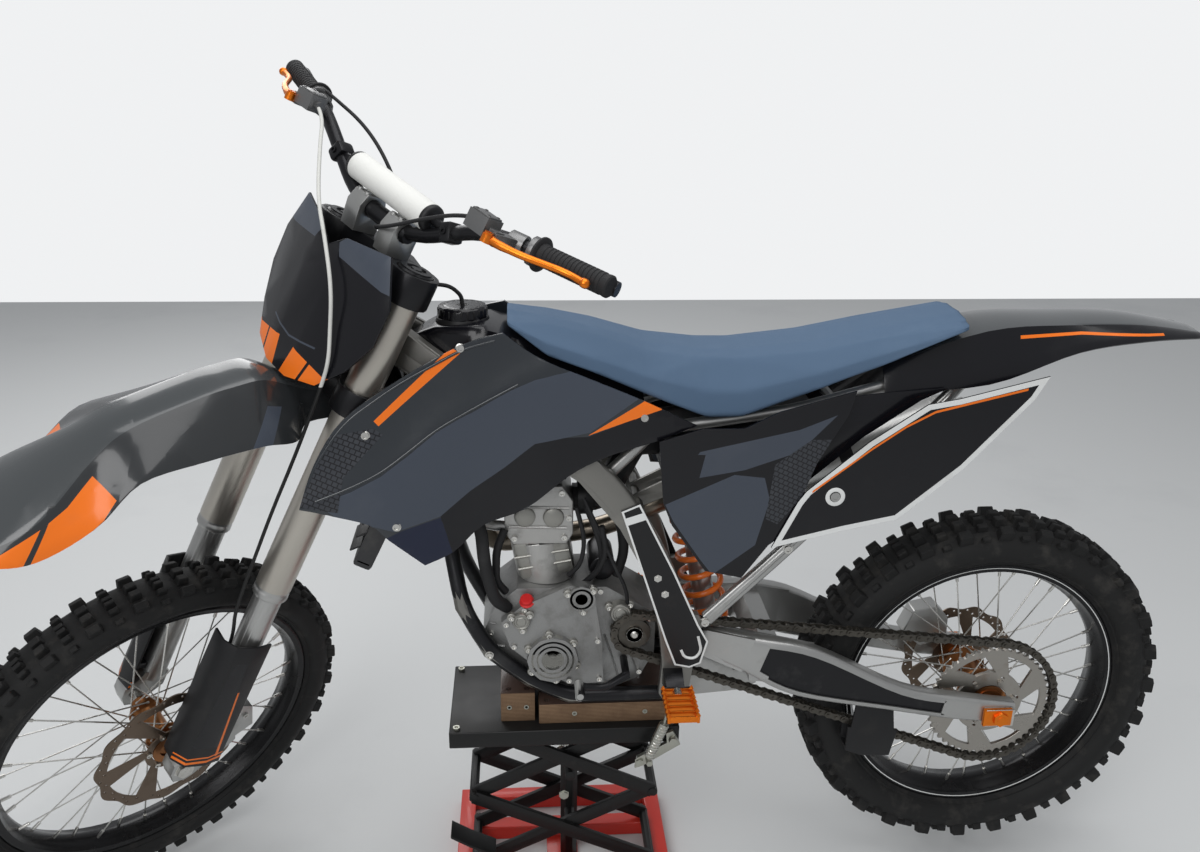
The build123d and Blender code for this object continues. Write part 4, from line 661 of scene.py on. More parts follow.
# Half outlines from the bead over the side to the middle of the tread: distance from the middle, radius
FRONT_HALF = [
    (27, 280), (30, 283), (33, 285), (33, 287.5), (37, 290), (42, 297), (43, 304), (41.5, 313), (36, 322),
    (25, 330.5), (12, 333), (0, 333.4),
]
REAR_HALF = [
    (36, 255), (40, 259), (43, 261), (43, 264), (49, 268), (55, 277), (57, 286), (55, 298), (50, 308),
    (34, 321), (16, 323.5), (0, 324),
]
front_knobs = []
for side_y in (1, -1):
    front_knobs += [
        (knob(338.3, side_y * 9.4, (13, 20, 14.5)), TREAD, 0),
        (knob(338.3, side_y * 5.2, (13, 17, 9)), TREAD, HALF_STEP),
        (knob(336.5, side_y * 20.5, (12, 17, 9), tilt=side_y * 14), TREAD, HALF_STEP),
        (knob(331.5, side_y * 31, (17, 25, 15), tilt=side_y * 26), TREAD, 0),
        (knob(326.5, side_y * 35.4, (12, 15, 9), tilt=side_y * 40), TREAD, HALF_STEP),
    ]
tyre_piece("front_tyre_rubber", FRONT_HALF, front_knobs, FRONT_WHEEL, "front_wheel", "front_tyre")
rear_knobs = []
for side_y in (1, -1):
    rear_knobs += [
        (knob(330, side_y * 13.4, (15.5, 22, 20)), TREAD, 0),
        (knob(330, side_y * 7.4, (15.5, 20, 12)), TREAD, HALF_STEP),
        (knob(327, side_y * 28, (14, 20, 13), tilt=side_y * 14), TREAD, HALF_STEP),
        (knob(321, side_y * 43.5, (22, 27, 20), tilt=side_y * 26), TREAD, 0),
        (knob(314, side_y * 48.5, (13, 17, 10), tilt=side_y * 40), TREAD, HALF_STEP),
    ]
tyre_piece("rear_tyre_rubber", REAR_HALF, rear_knobs, REAR_WHEEL, "rear_wheel", "rear_tyre")

# %% [markdown]
# Rims, spokes and hubs. A rim is drawn black aluminium with two raised edges and a well that the spokes pull on;
# the rear one has a thin white line near its edge. Four spokes, two from each hub flange, make a set that
# repeats nine times, each spoke with its nipple at the rim.

# %% Rims


def rim_piece(name, radius, half, place, body, node, stripe):
    outline = [
        (radius, half - 1), (radius - 2, half), (radius - 5, half), (radius - 6.5, half - 0.6),
        (radius - 13, half - 1), (radius - 15, half - 6), (radius - 18, half * 0.45), (radius - 23, half * 0.2),
    ]
    ring = turned(name, outline + [(r, -z) for r, z in reversed(outline)], steps=96)
    ring.data.materials.append(RIM_BLACK)
    ring.data.materials.append(stripe)
    for face in ring.data.polygons:
        middle = hypot(face.center.x, face.center.y) / MM
        if radius - 6.4 < middle < radius - 4.6 and abs(face.normal.z) > 0.5:
            face.material_index = 1
    return fit(ring, name, place, body, None, (node,))


rim_piece("front_rim_ring", 279, 27, FRONT_WHEEL, "front_wheel", "front_rim", RIM_BLACK)
rim_piece("rear_rim_ring", 254, 36, REAR_WHEEL, "rear_wheel", "rear_rim", WHITE_PLASTIC)

# %% Spokes


def rod(name, start, end, radius, sides=6):
    """A thin straight rod from start to end."""
    start, end = Vector(start), Vector(end)
    bpy.ops.mesh.primitive_cylinder_add(vertices=sides, radius=radius * MM, depth=(end - start).length * MM)
    piece = bpy.context.active_object
    turn = (end - start).to_track_quat("Z", "Y").to_matrix().to_4x4()
    return named(moved(piece, Matrix.Translation((start + end) / 2 * MM) @ turn), name)


def spoke_piece(name, inner_r, half, flange_r, flange_z, thick, stand_off, place, body, node):
    parts = []
    for k in range(4):
        rim_turn = radians((k + 0.5) * 10)
        up = 1 if k % 2 == 0 else -1
        lead = 1 if k < 2 else -1
        hub_turn = rim_turn + lead * radians(68)
        offset = thick / 2 + 1.7 + (stand_off if lead > 0 else 0.3)
        hub_z = up * (flange_z + (offset if lead > 0 else -offset))
        start = Vector(((flange_r - 5) * cos(hub_turn), (flange_r - 5) * sin(hub_turn), hub_z))
        reach = inner_r + 10 / half * (7 if lead > 0 else 3)
        end = Vector((reach * cos(rim_turn), reach * sin(rim_turn), up * (7 if lead > 0 else 3)))
        parts.append(rod("spoke", start, end, 1.35))
        parts.append(rod("nipple", end.lerp(start, 0.07), end, 2.9, 8))
        parts.append(rod("head", start.lerp(end, -0.004), start.lerp(end, 0.012), 2.6, 8))
    whole = round_array(join(parts, name), 9)
    return fit(smooth(whole, 50), name, place, body, SPOKE_STEEL, (node,))


spoke_piece("front_spoke_set", 256, 27, 31, 34, 5, 2.2, FRONT_WHEEL, "front_wheel", "front_spokes")
spoke_piece("rear_spoke_set", 231, 36, 40, 36, 6, 2.8, REAR_WHEEL, "rear_wheel", "rear_spokes")

# %% Hubs
# Both hubs take the orange anodising painted dark brown as painted shade.
front_hub = turned("front_hub_shell", [
    (10.2, -56), (18.5, -56), (18.5, -48), (17, -44), (17, -40), (30, -36.5), (31, -35), (31, -32), (29, -31.5),
    (20, -27), (18, -16), (18, 16), (20, 27), (29, 31.5), (31, 32), (31, 35), (30, 36.5), (18, 41), (18, 53),
    (31, 54), (31, 62), (18.5, 62), (18.5, 58), (10.2, 58),
], steps=48)
fit(front_hub, "front_hub_shell", FRONT_WHEEL, "front_wheel", HUB_SHADED_ORANGE, ("front_hub",))
rear_hub = turned("rear_hub_shell", [
    (12.7, -78), (25.5, -78), (35, -76), (35, -69), (25.5, -67), (25.5, -43), (39, -39), (40, -38), (40, -34),
    (38, -33), (27, -28), (25, -18), (25, 18), (27, 28), (38, 33), (40, 34), (40, 38), (39, 39), (25.5, 43),
    (25.5, 72), (33, 73), (33, 82), (25.5, 82), (25.5, 84), (12.7, 84),
], steps=48)
fit(rear_hub, "rear_hub_shell", REAR_WHEEL, "rear_wheel", HUB_SHADED_ORANGE, ("rear_hub",))
print("rims, spokes and hubs done")

# %% [markdown]
# Brake discs and the rear sprocket are flat rings cut by laser: a wavy or toothed rim, windows, a few arms and
# holes. Rings of points make the flat shape, the windows are simply left out, and Solidify gives it thickness.

# %% Flat rings with windows


ARM_LEAN = radians(16)


def cut_ring(name, radii, edge, arms, arm_share, thickness, z, segments):
    """A flat ring in steps: hub ring, windows with arms between, outer band. edge shapes the outermost radius."""
    points, faces = [], []
    for level, radius in enumerate(radii):
        for k in range(segments):
            turn = 2 * pi * k / segments
            r = edge(turn) if level == len(radii) - 1 else radius
            lean = ARM_LEAN * (radius - radii[1]) / (radii[2] - radii[1]) if level else 0
            lean = min(lean, ARM_LEAN)
            points.append((r * cos(turn + lean), r * sin(turn + lean), z))
    for level in range(len(radii) - 1):
        for k in range(segments):
            if level == 1 and (k * arms / segments) % 1 > arm_share:
                continue
            a, b = level * segments + k, level * segments + (k + 1) % segments
            faces.append([a, b, b + segments, a + segments])
    sheet = from_points(name, points, [], faces)
    modify(sheet, "SOLIDIFY", thickness=thickness * MM, offset=0)
    tidy(sheet)
    return soften(sheet, 0.4, 40, 1)


def drilled(piece, spots, radius, z):
    """Cut round holes through a flat ring."""
    drills = [rod("drill", (x, y, z - 8), (x, y, z + 8), radius, 10) for x, y in spots]
    drill = join(drills, "drill")
    modify(piece, "BOOLEAN", operation="DIFFERENCE", object=drill, solver="EXACT")
    bpy.data.objects.remove(drill)
    return smooth(piece, 30)


def round_spots(count, radius, start=0):
    """Spots evenly round a circle, from this angle on."""
    turns = [radians(start) + 2 * pi * k / count for k in range(count)]
    return [(radius * cos(turn), radius * sin(turn)) for turn in turns]


front_disc = cut_ring("front_disc_ring", (32, 44, 108, 129), lambda t: 126 + 3.6 * cos(12 * t), 6, 0.3, 3, 60, 144)
drilled(front_disc, round_spots(24, 113, 3) + round_spots(24, 120.5, 10), 2.6, 60)
fit(front_disc, "front_disc_ring", FRONT_WHEEL, "front_wheel", DISC_BRONZE, ("front_disc",))
rear_disc = cut_ring("rear_disc_ring", (36, 48, 88, 109), lambda t: 106 + 3.6 * cos(12 * t), 6, 0.3, 3, -72, 144)
drilled(rear_disc, round_spots(24, 94, 3) + round_spots(24, 101, 10), 2.4, -72)
fit(rear_disc, "rear_disc_ring", REAR_WHEEL, "rear_wheel", DISC_BRONZE, ("rear_disc",))

PITCH = 15.875
REAR_TEETH, FRONT_TEETH = 48, 14
rear_pitch_r = PITCH / 2 / sin(pi / REAR_TEETH)
front_pitch_r = PITCH / 2 / sin(pi / FRONT_TEETH)


def tooth(turn, teeth, tip, root):
    """The radius of a toothed edge at this angle: flat gaps between narrow, pointed tips."""
    phase = (turn * teeth / (2 * pi)) % 1
    return root + (tip - root) * max(0, 1 - abs(phase - 0.5) * 3.2)


tip_r = rear_pitch_r - 7.6
sprocket = cut_ring(
    "rear_sprocket_ring", (34.2, 62, 96, tip_r), lambda t: tooth(t, REAR_TEETH, tip_r, tip_r - 6), 6, 0.42, 6.6, 78,
    384
)
drilled(sprocket, round_spots(6, 52, 8), 4, 78)
sprocket_bolts = [bolt("sprocket_bolt", (x, y, 81.3), (0, 0, 1), 6, 4, False) for x, y in round_spots(6, 44, 8)]
fit(
    [sprocket] + sprocket_bolts, "rear_sprocket_ring", REAR_WHEEL, "rear_wheel", DISC_STEEL,
    ("rear_sprocket",)
)
for end, place, z, out, radius in (("rear", REAR_WHEEL, -75.5, -1, 41), ("front", FRONT_WHEEL, 61.5, 1, 38)):
    name = end + "_disc_bolts"
    disc_bolts = join([bolt("disc_bolt", (x, y, z), (0, 0, out), 5, 3) for x, y in round_spots(6, radius, 12)], name)
    fit(disc_bolts, name, place, end + "_wheel", SPOKE_STEEL)
print("discs and sprocket done")

# %% [markdown]
# The chain is a loop of single links: plates shaped like an eight, pins and rollers. One inner and one outer link
# are modelled and then copied along the pitch line, which runs straight between the sprockets and round them.

# %% Chain
OUTPUT = Vector((652, 0, 162))
CHAIN_Y = 78
centres = hypot(OUTPUT.x, OUTPUT.z)
climb = atan2(OUTPUT.z, OUTPUT.x)
spread = pi / 2 - asin((rear_pitch_r - front_pitch_r) / centres)
run = centres * sin(spread)
loop_length = 2 * run + front_pitch_r * 2 * spread + rear_pitch_r * (2 * pi - 2 * spread)


def loop_spot(distance):
    """The point on the pitch line that is this far along the loop."""
    distance %= loop_length
    low, high = climb - spread, climb + spread
    front_arc = front_pitch_r * 2 * spread
    if distance < run:
        return rear_pitch_r * cos(low) - sin(low) * distance, rear_pitch_r * sin(low) + cos(low) * distance
    distance -= run
    if distance < front_arc:
        turn = low + distance / front_pitch_r
        return OUTPUT.x + front_pitch_r * cos(turn), OUTPUT.z + front_pitch_r * sin(turn)
    distance -= front_arc
    if distance < run:
        return (OUTPUT.x + front_pitch_r * cos(high) - sin(high) * distance,
                OUTPUT.z + front_pitch_r * sin(high) + cos(high) * distance)
    turn = high + (distance - run) / rear_pitch_r
    return rear_pitch_r * cos(turn), rear_pitch_r * sin(turn)


def link_plate(left, thickness):
    """One chain plate, an eight round two pins, lying along X from the first pin."""
    outline = []
    end_r, waist = 6.6, 5
    for middle, start in ((0, 90), (PITCH, -90)):
        for step in range(5):
            turn = radians(start + step * 45)
            outline.append((middle + end_r * cos(turn), end_r * sin(turn)))
        outline.append((PITCH / 2, -waist if middle == 0 else waist))
    return slab("plate", outline, left, thickness, 0)


inner_link = join([link_plate(6, 1.8), link_plate(-4.2, 1.8)] + [
    rod("roller", (x, -4.2, 0), (x, 4.2, 0), 5, 10) for x in (0, PITCH)], "inner_link")
outer_link = join([link_plate(8.2, 1.8), link_plate(-6.4, 1.8)] + [
    rod("pin", (x, -10, 0), (x, 10, 0), 2.6, 8) for x in (0, PITCH)], "outer_link")
count = 2 * round(loop_length / PITCH / 2)
chain_parts = []
for k in range(count):
    x0, z0 = loop_spot(k * loop_length / count)
    x1, z1 = loop_spot((k + 1) * loop_length / count)
    turn = Matrix.Rotation(-atan2(z1 - z0, x1 - x0), 4, "Y")
    chain_parts.append(copy_of(inner_link if k % 2 else outer_link, at(x0, CHAIN_Y, z0) @ turn))
bpy.data.objects.remove(inner_link)
bpy.data.objects.remove(outer_link)
fit(smooth(join(chain_parts, "chain_links"), 40), "chain_links", BIKE, "root", CHAIN_STEEL, ("chain",))
print("chain links:", count)

# %% [markdown]
# Printed panels. The plastics carry flat areas of other colours with crisp edges. Each area is cut into the sheet
# along its straight edges, and the faces inside it get their own finish, so a colour ends at a real edge.

# %% Tools: painted areas


def inside(shape, u, v):
    """Whether a point lies in a many-sided shape."""
    hit = False
    for (u0, v0), (u1, v1) in zip(shape, shape[1:] + shape[:1]):
        if (v0 > v) != (v1 > v) and u < (u1 - u0) * (v - v0) / (v1 - v0) + u0:
            hit = not hit
    return hit


def printed(piece, areas, materials, across="Y"):
    """Cut the outlines of areas, each (shape, index of its finish), through a piece and paint the faces in them."""
    for material in materials:
        piece.data.materials.append(material)
    axis = Vector((0, 1, 0)) if across == "Y" else Vector((1, 0, 0))
    alone(piece)
    bpy.ops.object.mode_set(mode="EDIT")
    for shape, _ in areas:
        for (u0, v0), (u1, v1) in zip(shape, shape[1:] + shape[:1]):
            start = Vector((u0, 0, v0)) if across == "Y" else Vector((0, u0, v0))
            along = (Vector((u1, 0, v1)) if across == "Y" else Vector((0, u1, v1))) - start
            bpy.ops.mesh.select_all(action="SELECT")
            bpy.ops.mesh.bisect(plane_co=start * MM, plane_no=along.cross(axis).normalized(), threshold=0.00001)
    leave()
    for face in piece.data.polygons:
        if abs(face.normal.dot(axis)) < 0.25:
            continue
        u = (face.center.x if across == "Y" else face.center.y) / MM
        for shape, index in areas:
            if inside(shape, u, face.center.z / MM):
                face.material_index = index
    return piece


# %% [markdown]
# The fork. Each outer tube is one aluminium turning: slim between the clamps, with a collar at its foot that
# holds the seals, and a screwed cap at its top. It is spun from its half outline and copied to the other side.

# %% Fork tubes and legs
LEG_X, LEG_Y = 27, 98
tube = turned("fork_tube", [
    (0, 372), (24.6, 372), (24.6, 361), (28.4, 360.2), (29.3, 362), (29.3, 371), (28.5, 372.5), (28.5, 377),
    (29.3, 378.5), (29.3, 690), (28.7, 712), (28.7, 905), (28.7, 950), (28.2, 952), (28.2, 957), (25, 959.5),
    (25, 961.5), (16, 961.8), (15, 959), (9, 959), (8, 961.5), (0, 961.5),
], steps=64, closed=False)
for material in (FORK_METAL, BLACK_METAL, BRIGHT_METAL):
    tube.data.materials.append(material)
for face in tube.data.polygons:
    face.material_index = 2 if face.center.z < 378.4 * MM else 1 if face.center.z > 951 * MM else 0
tubes = join([copy_of(tube, at(LEG_X, LEG_Y, 0)), copy_of(tube, at(LEG_X, -LEG_Y, 0))], "fork_tube_pair")
bpy.data.objects.remove(tube)
fit(tubes, "fork_tube_pair", FRONT, "steering", None, ("fork_tubes",))
leg = turned("fork_leg", [(0, 30), (23.9, 30), (23.9, 359), (0, 359)], steps=48, closed=False)
legs = [copy_of(leg, at(LEG_X, LEG_Y, 0)), copy_of(leg, at(LEG_X, -LEG_Y, 0)), from_cad("fork_legs", FRONT, 1.5, 40)]
bpy.data.objects.remove(leg)
for y in (LEG_Y, -LEG_Y):
    for x in (45, 66):
        for dy in (-8, 8):
            legs.append(bolt("lug_bolt", (x, y + dy, -18), (0, 0, -1), 4, 4))
fit(legs, "fork_leg_pair", FRONT, "steering", BRIGHT_METAL, ("fork_legs",))
axle = from_cad("front_axle", FRONT, 0.8)
nuts = [
    bolt("axle_nut", (FORK_OFFSET, 115.5, 0), (0, 1, 0), 15, 6, False),
    bolt("axle_nut", (FORK_OFFSET, -115.5, 0), (0, -1, 0), 15, 6, False)
]
fit([axle] + nuts, "front_axle_bar", FRONT, "steering", SPOKE_STEEL, ("front_axle",))

# %% Clamps
clamps = [from_cad("triple_clamps", FRONT, 2, 40, 3)]
for y in (1, -1):
    for z in (922, 944, 722, 742):
        clamps.append(bolt("clamp_bolt", (LEG_X - 34, y * 82, z), (-1, 0, 0), 5, 5))
clamps.append(bolt("stem_nut", (0, 0, 957), (0, 0, 1), 17, 9, False))
fit(clamps, "clamp_pair", FRONT, "steering", BLACK_METAL, ("triple_clamps",))

# %% Fork guards: black, with two orange lines round the foot and one up the back edge
guards = from_cad("fork_guards", FRONT, 0.8, 50)
foot_lines = [
    ([(-20, 30), (120, 22), (120, 27), (-20, 35)], 1), ([(-20, 40), (120, 32), (120, 35), (-20, 43)], 1),
    ([(14, 36), (20, 36), (34, 180), (30, 180)], 1), ([(22, 60), (70, 60), (60, 240), (40, 240)], 2),
]
printed(guards, foot_lines, [BLACK_PLASTIC, ORANGE_PRINT, GLOSS_BLACK])
fit(guards, "fork_guard_pair", FRONT, "steering", None, ("fork_guards",))
print("fork done")

# %% [markdown]
# Handlebar. The bar is thicker where its two clamps hold it, and a cross bar joins its bends. Bars are bent
# tubes, so they are curves with a round section, eased at each corner and turned into meshes.

# %% Bar, cross bar and mounts
BAR_END, BAR_KNEE, BAR_MIDDLE = Vector((-25, 405, 1096)), Vector((42, 212, 1076)), Vector((40, 72, 997))
CROSS = Vector((41, 146, 1040))


def other_side(spot):
    return Vector((spot[0], -spot[1], spot[2]))


bar_route = [other_side(BAR_END), other_side(BAR_KNEE), other_side(BAR_MIDDLE), BAR_MIDDLE, BAR_KNEE, BAR_END]
bars = [
    bar("bar", bar_route, 11.1, 48, 24),
    bar(
        "sleeve", [(40, -70, 997), (40, -62, 997), (40, 62, 997), (40, 70, 997)], 14, 1, 24,
        radii=[0.84, 1, 1, 1, 1, 0.84]
    )
]
bars.append(bar("cross_bar", [other_side(CROSS), CROSS], 7, 0, 16))
for y in (1, -1):
    clamp = block("cross_clamp", (0, 0, 0), (30, 23, 30), 5)
    bars.append(moved(clamp, at(41, y * 146, 1040) @ Matrix.Rotation(radians(29 * y), 4, "X")))
    bars.append(bolt("cross_bolt", (41 + 14, y * 146, 1040), (1, 0, 0.2), 5, 4))
bar_set = join(bars, "handlebar_tube")
fit(bar_set, "handlebar_tube", FRONT, "steering", BLACK_METAL, ("handlebar",))
mounts = [from_cad("bar_mounts", FRONT, 2, 40, 3)]
for y in (1, -1):
    for x in (26, 54):
        for dy in (-10, 10):
            mounts.append(bolt("mount_bolt", (x, y * 45 + dy, 1014.5), (0, 0, 1), 4.5, 4))
fit(mounts, "bar_mount_pair", FRONT, "steering", BRIGHT_METAL, ("bar_mounts",))

# %% Bar pad: a white padded sleeve round the cross bar, with dark ends and a seam along its back
pad = turned("pad_sleeve", [
    (7.5, -104), (15, -104), (19, -103), (21, -100.5), (21.6, -96), (21.2, -94.5), (21.9, -93), (21.9, -40),
    (21.7, 0), (21.9, 40), (21.9, 93), (21.2, 94.5), (21.6, 96), (21, 100.5), (19, 103), (15, 104), (7.5, 104),
], steps=48)
pad.data.materials.append(PAD_WHITE)
pad.data.materials.append(BLACK_PLASTIC)
for face in pad.data.polygons:
    face.material_index = 1 if abs(face.center.z) > 94.6 * MM else 0
seam_line = bar("pad_seam", [(-15, -14.6, -93), (-15.2, -15, 0), (-15, -14.6, 93)], 0.9, 10, 8)
seam_line.data.materials.append(PAD_WHITE)
pad = join([pad, seam_line], "bar_pad_sleeve")
fit(pad, "bar_pad_sleeve", FRONT @ across(CROSS - Vector((0, 146, 0))), "steering", None, ("bar_pad",))
print("bar done")


# %% [markdown]
# Grips and controls sit on the outer runs of the bar. A grip is a soft rubber sleeve with a flange and rings; the
# levers are slim forged blades that end in a ball.

# %% Grips


def along_bar(share):
    return BAR_KNEE.lerp(BAR_END, share)


def on_bar(share, side_y):
    """A place on the bar's outer run, its Z axis pointing out to the bar's end."""
    spot = along_bar(share)
    run = BAR_END - BAR_KNEE
    return place_from((spot.x, side_y * spot.y, spot.z), (1, 0, 0), (run.x, side_y * run.y, run.z))


outer_run = (BAR_END - BAR_KNEE).length
grip_length = outer_run * 0.57
grip_outline = [(11.4, -4.2), (24, -4.2), (25, -3), (25, -0.6), (24, 0.4), (17.2, 1.4)]
for k in range(15):
    z = 6 + k * (grip_length - 16) / 15
    grip_outline += [(15.9, z), (15.9, z + 3.6), (14.9, z + 4.4), (14.9, z + 6.2)]
grip_outline += [(15.9, grip_length - 6), (15.9, grip_length - 2), (14, grip_length), (0, grip_length)]
grip = turned("grip_sleeve", grip_outline + [(0, 8), (11.4, 8)], steps=36)
grips = join([copy_of(grip, on_bar(0.42, 1)), copy_of(grip, on_bar(0.42, -1))], "grip_pair")
bpy.data.objects.remove(grip)
fit(grips, "grip_pair", FRONT, "steering", GRIP_RUBBER, ("grips",))

# %% Perches, levers, reservoirs
perch = along_bar(0.23)
perches = [from_cad("lever_perches", FRONT, 1.6, 40, 3)]
for y in (1, -1):
    box_y = y * (perch.y - 32)
    perches.append(block("cap", (perch.x + 45, box_y, perch.z + 20), (26, 36, 3), 1))
    for dx in (-9, 9):
        for dy in (-13, 13):
            perches.append(bolt("cap_screw", (perch.x + 45 + dx, box_y + dy, perch.z + 21), (0, 0, 1), 2.4, 1.6))
    perches.append(moved(
        bolt("banjo", (0, 0, 0), (0, 0, 1), 7, 7, False), across((perch.x + 45, box_y - y * 20, perch.z + 6), -y)
    ))
fit(perches, "perch_pair", FRONT, "steering", PERCH_METAL, ("lever_perches",))
knee, end = along_bar(0.5), along_bar(0.93)
boss_x = perch.x + 52 + 8.3
levers = []
for y in (1, -1):
    levers.append(bar("lever", [
        (boss_x - 4, y * perch.y, perch.z - 4), (boss_x - 6, y * (perch.y + 16), perch.z - 4),
        (knee.x + 60, y * knee.y, knee.z - 6), (end.x + 50, y * (end.y - 34), end.z - 7),
        (end.x + 45, y * end.y, end.z - 6),
    ], 5.6, 18, 16, radii=[1.3, 1.15, 1.1, 0.95, 0.92, 0.9, 0.9, 0.95]))
    ball = turned("ball", [(0, -7), (4.5, -6), (7, -3), (7.6, 0), (7, 3), (4.5, 6), (0, 7)], 20, closed=False)
    levers.append(moved(ball, at(end.x + 45, y * (end.y - 3), end.z - 6)))
    levers.append(moved(bolt("pivot", (0, 0, 0), (0, 0, 1), 6.5, 4), at(boss_x, y * perch.y, perch.z + 1)))
    boss = turned("boss", [(0, -10), (8, -10), (8, 1.8), (0, 1.8)], 24, closed=False)
    levers.append(moved(boss, at(boss_x, y * perch.y, perch.z)))
fit(levers, "lever_pair", FRONT, "steering", ORANGE_METAL, ("levers",))
print("controls done")

# %% [markdown]
# Hoses and the throttle cable are flexible, so each is one smooth spline along the route that the imported tube
# follows, with a round section.

# %% Hoses
ROUTES = {
    "brake_hose": ([
        (72, -204.3, 1086), (74, -178, 1078), (96, -130, 1045), (124, -50, 985), (132, 6, 950), (129, 62, 893),
        (115, 80, 833), (108, 96, 790), (103, 97, 745), (94, 90, 702), (86, 87, 616), (83, 86, 519), (77, 87, 421),
        (80, 98, 330), (66, 99, 288), (60, 98, 250), (60, 98, 64.3)], HOSE_WHITE, "hose_cover", "medium"),
    "clutch_hose": ([
        (72, 204.3, 1086), (74, 178, 1078), (84, 130, 1046), (80, 60, 1000), (66, 18, 985), (34, 6, 980),
        (30, 4, 957.3)],
        GRIP_RUBBER, "grip_rubber", "medium"),
    "throttle_cable": ([
        (15, -271.5, 1100.5), (16, -240, 1099), (6, -170, 1090), (-6, -110, 1066), (-16, -50, 1026), (-18, -22, 985),
        (-16, -18, 957.3)], GRIP_RUBBER, "grip_rubber", "medium"),
}


def hose(name, route, material):
    """A hose as one smooth spline with a round section."""
    curve = bpy.data.curves.new(name, "CURVE")
    curve.dimensions = "3D"
    line = curve.splines.new("NURBS")
    line.points.add(len(route) - 1)
    for point, spot in zip(line.points, route):
        point.co = (*(FRONT @ (Vector(spot) * MM)), 1)
    line.order_u = 3
    line.use_endpoint_u = True
    curve.resolution_u = 10
    piece = linked(name + "_line", curve)
    bare = bpy.data.meshes.new_from_object(piece)
    curve.bevel_depth = 3 * MM
    curve.bevel_resolution = 3
    curve.use_fill_caps = True
    curve.materials.append(material)
    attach(piece, "steering")
    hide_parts(name)
    return piece


# The brake hose is pale above the foot of the front plate, at this height over the floor, and dark below it
HOSE_DARK_BELOW = 1.02
n, l = HOSE_WHITE.node_tree.nodes, HOSE_WHITE.node_tree.links
spot = n.new("ShaderNodeTexCoord")
parts_of = n.new("ShaderNodeSeparateXYZ")
l.new(spot.outputs["Object"], parts_of.inputs["Vector"])
below = math_node(HOSE_WHITE.node_tree, "LESS_THAN", parts_of.outputs["Z"], HOSE_DARK_BELOW)
second_colour(HOSE_WHITE, below, (0.012, 0.012, 0.012))
for name, (route, material, slot, stiffness) in ROUTES.items():
    hose(name, route, material)

# %% [markdown]
# Front plate and fenders. The number plate is one bent sheet of glossy plastic, left blank, with grey panels at its
# upper corners, orange lower corners and a thin grey line. A fender is a thin skin, nearly flat between two ridges
# and steeper outside them: it goes through measured cross-sections and is then given its thickness.

# %% Front number plate
plate = from_cad("front_plate", FRONT, 0)
plate_areas = [
    ([(24, 950), (40, 968), (150, 990), (150, 926), (120, 922), (34, 932)], 1),
    ([(-24, 950), (-40, 968), (-150, 990), (-150, 926), (-120, 922), (-34, 932)], 1),
    ([(-145, 790), (-92, 760), (-20, 772), (-8, 715), (-60, 700), (-140, 740)], 2),
    ([(145, 790), (92, 760), (20, 772), (8, 715), (60, 700), (140, 740)], 2),
    ([(-62, 775), (-57, 775), (-40, 700), (-45, 700)], 0),
    ([(62, 775), (57, 775), (40, 700), (45, 700)], 0),
    ([(-58, 790), (0, 780), (58, 790), (58, 793), (0, 783), (-58, 793)], 1),
]
printed(plate, plate_areas, [GLOSS_BLACK, PANEL_GREY, ORANGE_PRINT], "X")
soften(plate, 0.9, 50)
fit(plate, "front_plate_sheet", FRONT, "steering", None, ("front_plate",))

# %% Tools: smooth skins


def flowing(stations, steps=4):
    """More stations on a smooth curve through the given ones."""
    found = []
    for i in range(len(stations) - 1):
        a, b, c, d = (stations[max(0, min(k, len(stations) - 1))] for k in (i - 1, i, i + 1, i + 2))
        for s in range(steps):
            t = s / steps
            found.append([
                0.5 * (2 * q + (r - p) * t + (2 * p - 5 * q + 4 * r - e) * t * t + (3 * q - p - 3 * r + e) * t ** 3)
                for p, q, r, e in zip(a, b, c, d)
            ])
    return found + [list(stations[-1])]


def facing(piece, toward):
    """Turn the faces of an open sheet so that they look this way on the whole."""
    if sum(face.normal.dot(toward) * face.area for face in piece.data.polygons) < 0:
        pick(piece, lambda c, n: True)
        bpy.ops.mesh.flip_normals()
        leave()
    return piece


def skin(name, rows):
    """A sheet through rows of points, all rows the same length."""
    count = len(rows[0])
    points = [p for row in rows for p in row]
    faces = []
    for i in range(len(rows) - 1):
        for k in range(count - 1):
            faces.append([i * count + k, i * count + k + 1, (i + 1) * count + k + 1, (i + 1) * count + k])
    return from_points(name, points, [], faces)


def thickened(piece, thickness, edge=1.2):
    """Give a sheet its thickness on its back, and ease its rim."""
    modify(piece, "SOLIDIFY", thickness=thickness * MM, offset=-1)
    return soften(piece, edge, 60)


# %% Fenders


def fender(node, place, body, name, stations, areas, materials, extra=None):
    """A fender from stations (x, top, half of the ridge, its height, half of the edge, its height)."""
    rows = []
    for x, top, ridge_half, ridge_z, edge_half, edge_z in flowing(stations, 5):
        half = [(s * ridge_half, top + (ridge_z - top) * s * s) for s in (0, 0.3, 0.6, 0.88, 1)]
        for s in (0.12, 0.4, 0.7, 1):
            half.append(
                (ridge_half + (edge_half - ridge_half) * s, ridge_z + (edge_z - ridge_z) * s + 9 * s * (1 - s))
            )
        rows.append([(x, -y, z) for y, z in reversed(half[1:])] + [(x, y, z) for y, z in half])
    sheet = skin(name, rows)
    across = len(rows[0]) - 1
    # Faces between the ridges take the first finish, the top with its painted highlight; the steeper faces outside
    # take the second.
    for face in sheet.data.polygons:
        face.material_index = 0 if 4 <= face.index % across < across - 4 else 1
    facing(sheet, Vector((0, 0, 1)))
    printed(sheet, areas, materials)
    thickened(sheet, 4)
    smooth(sheet, 24)
    if extra:
        sheet = join([sheet] + extra, name)
    return fit(sheet, name, place, body, None, (node,))


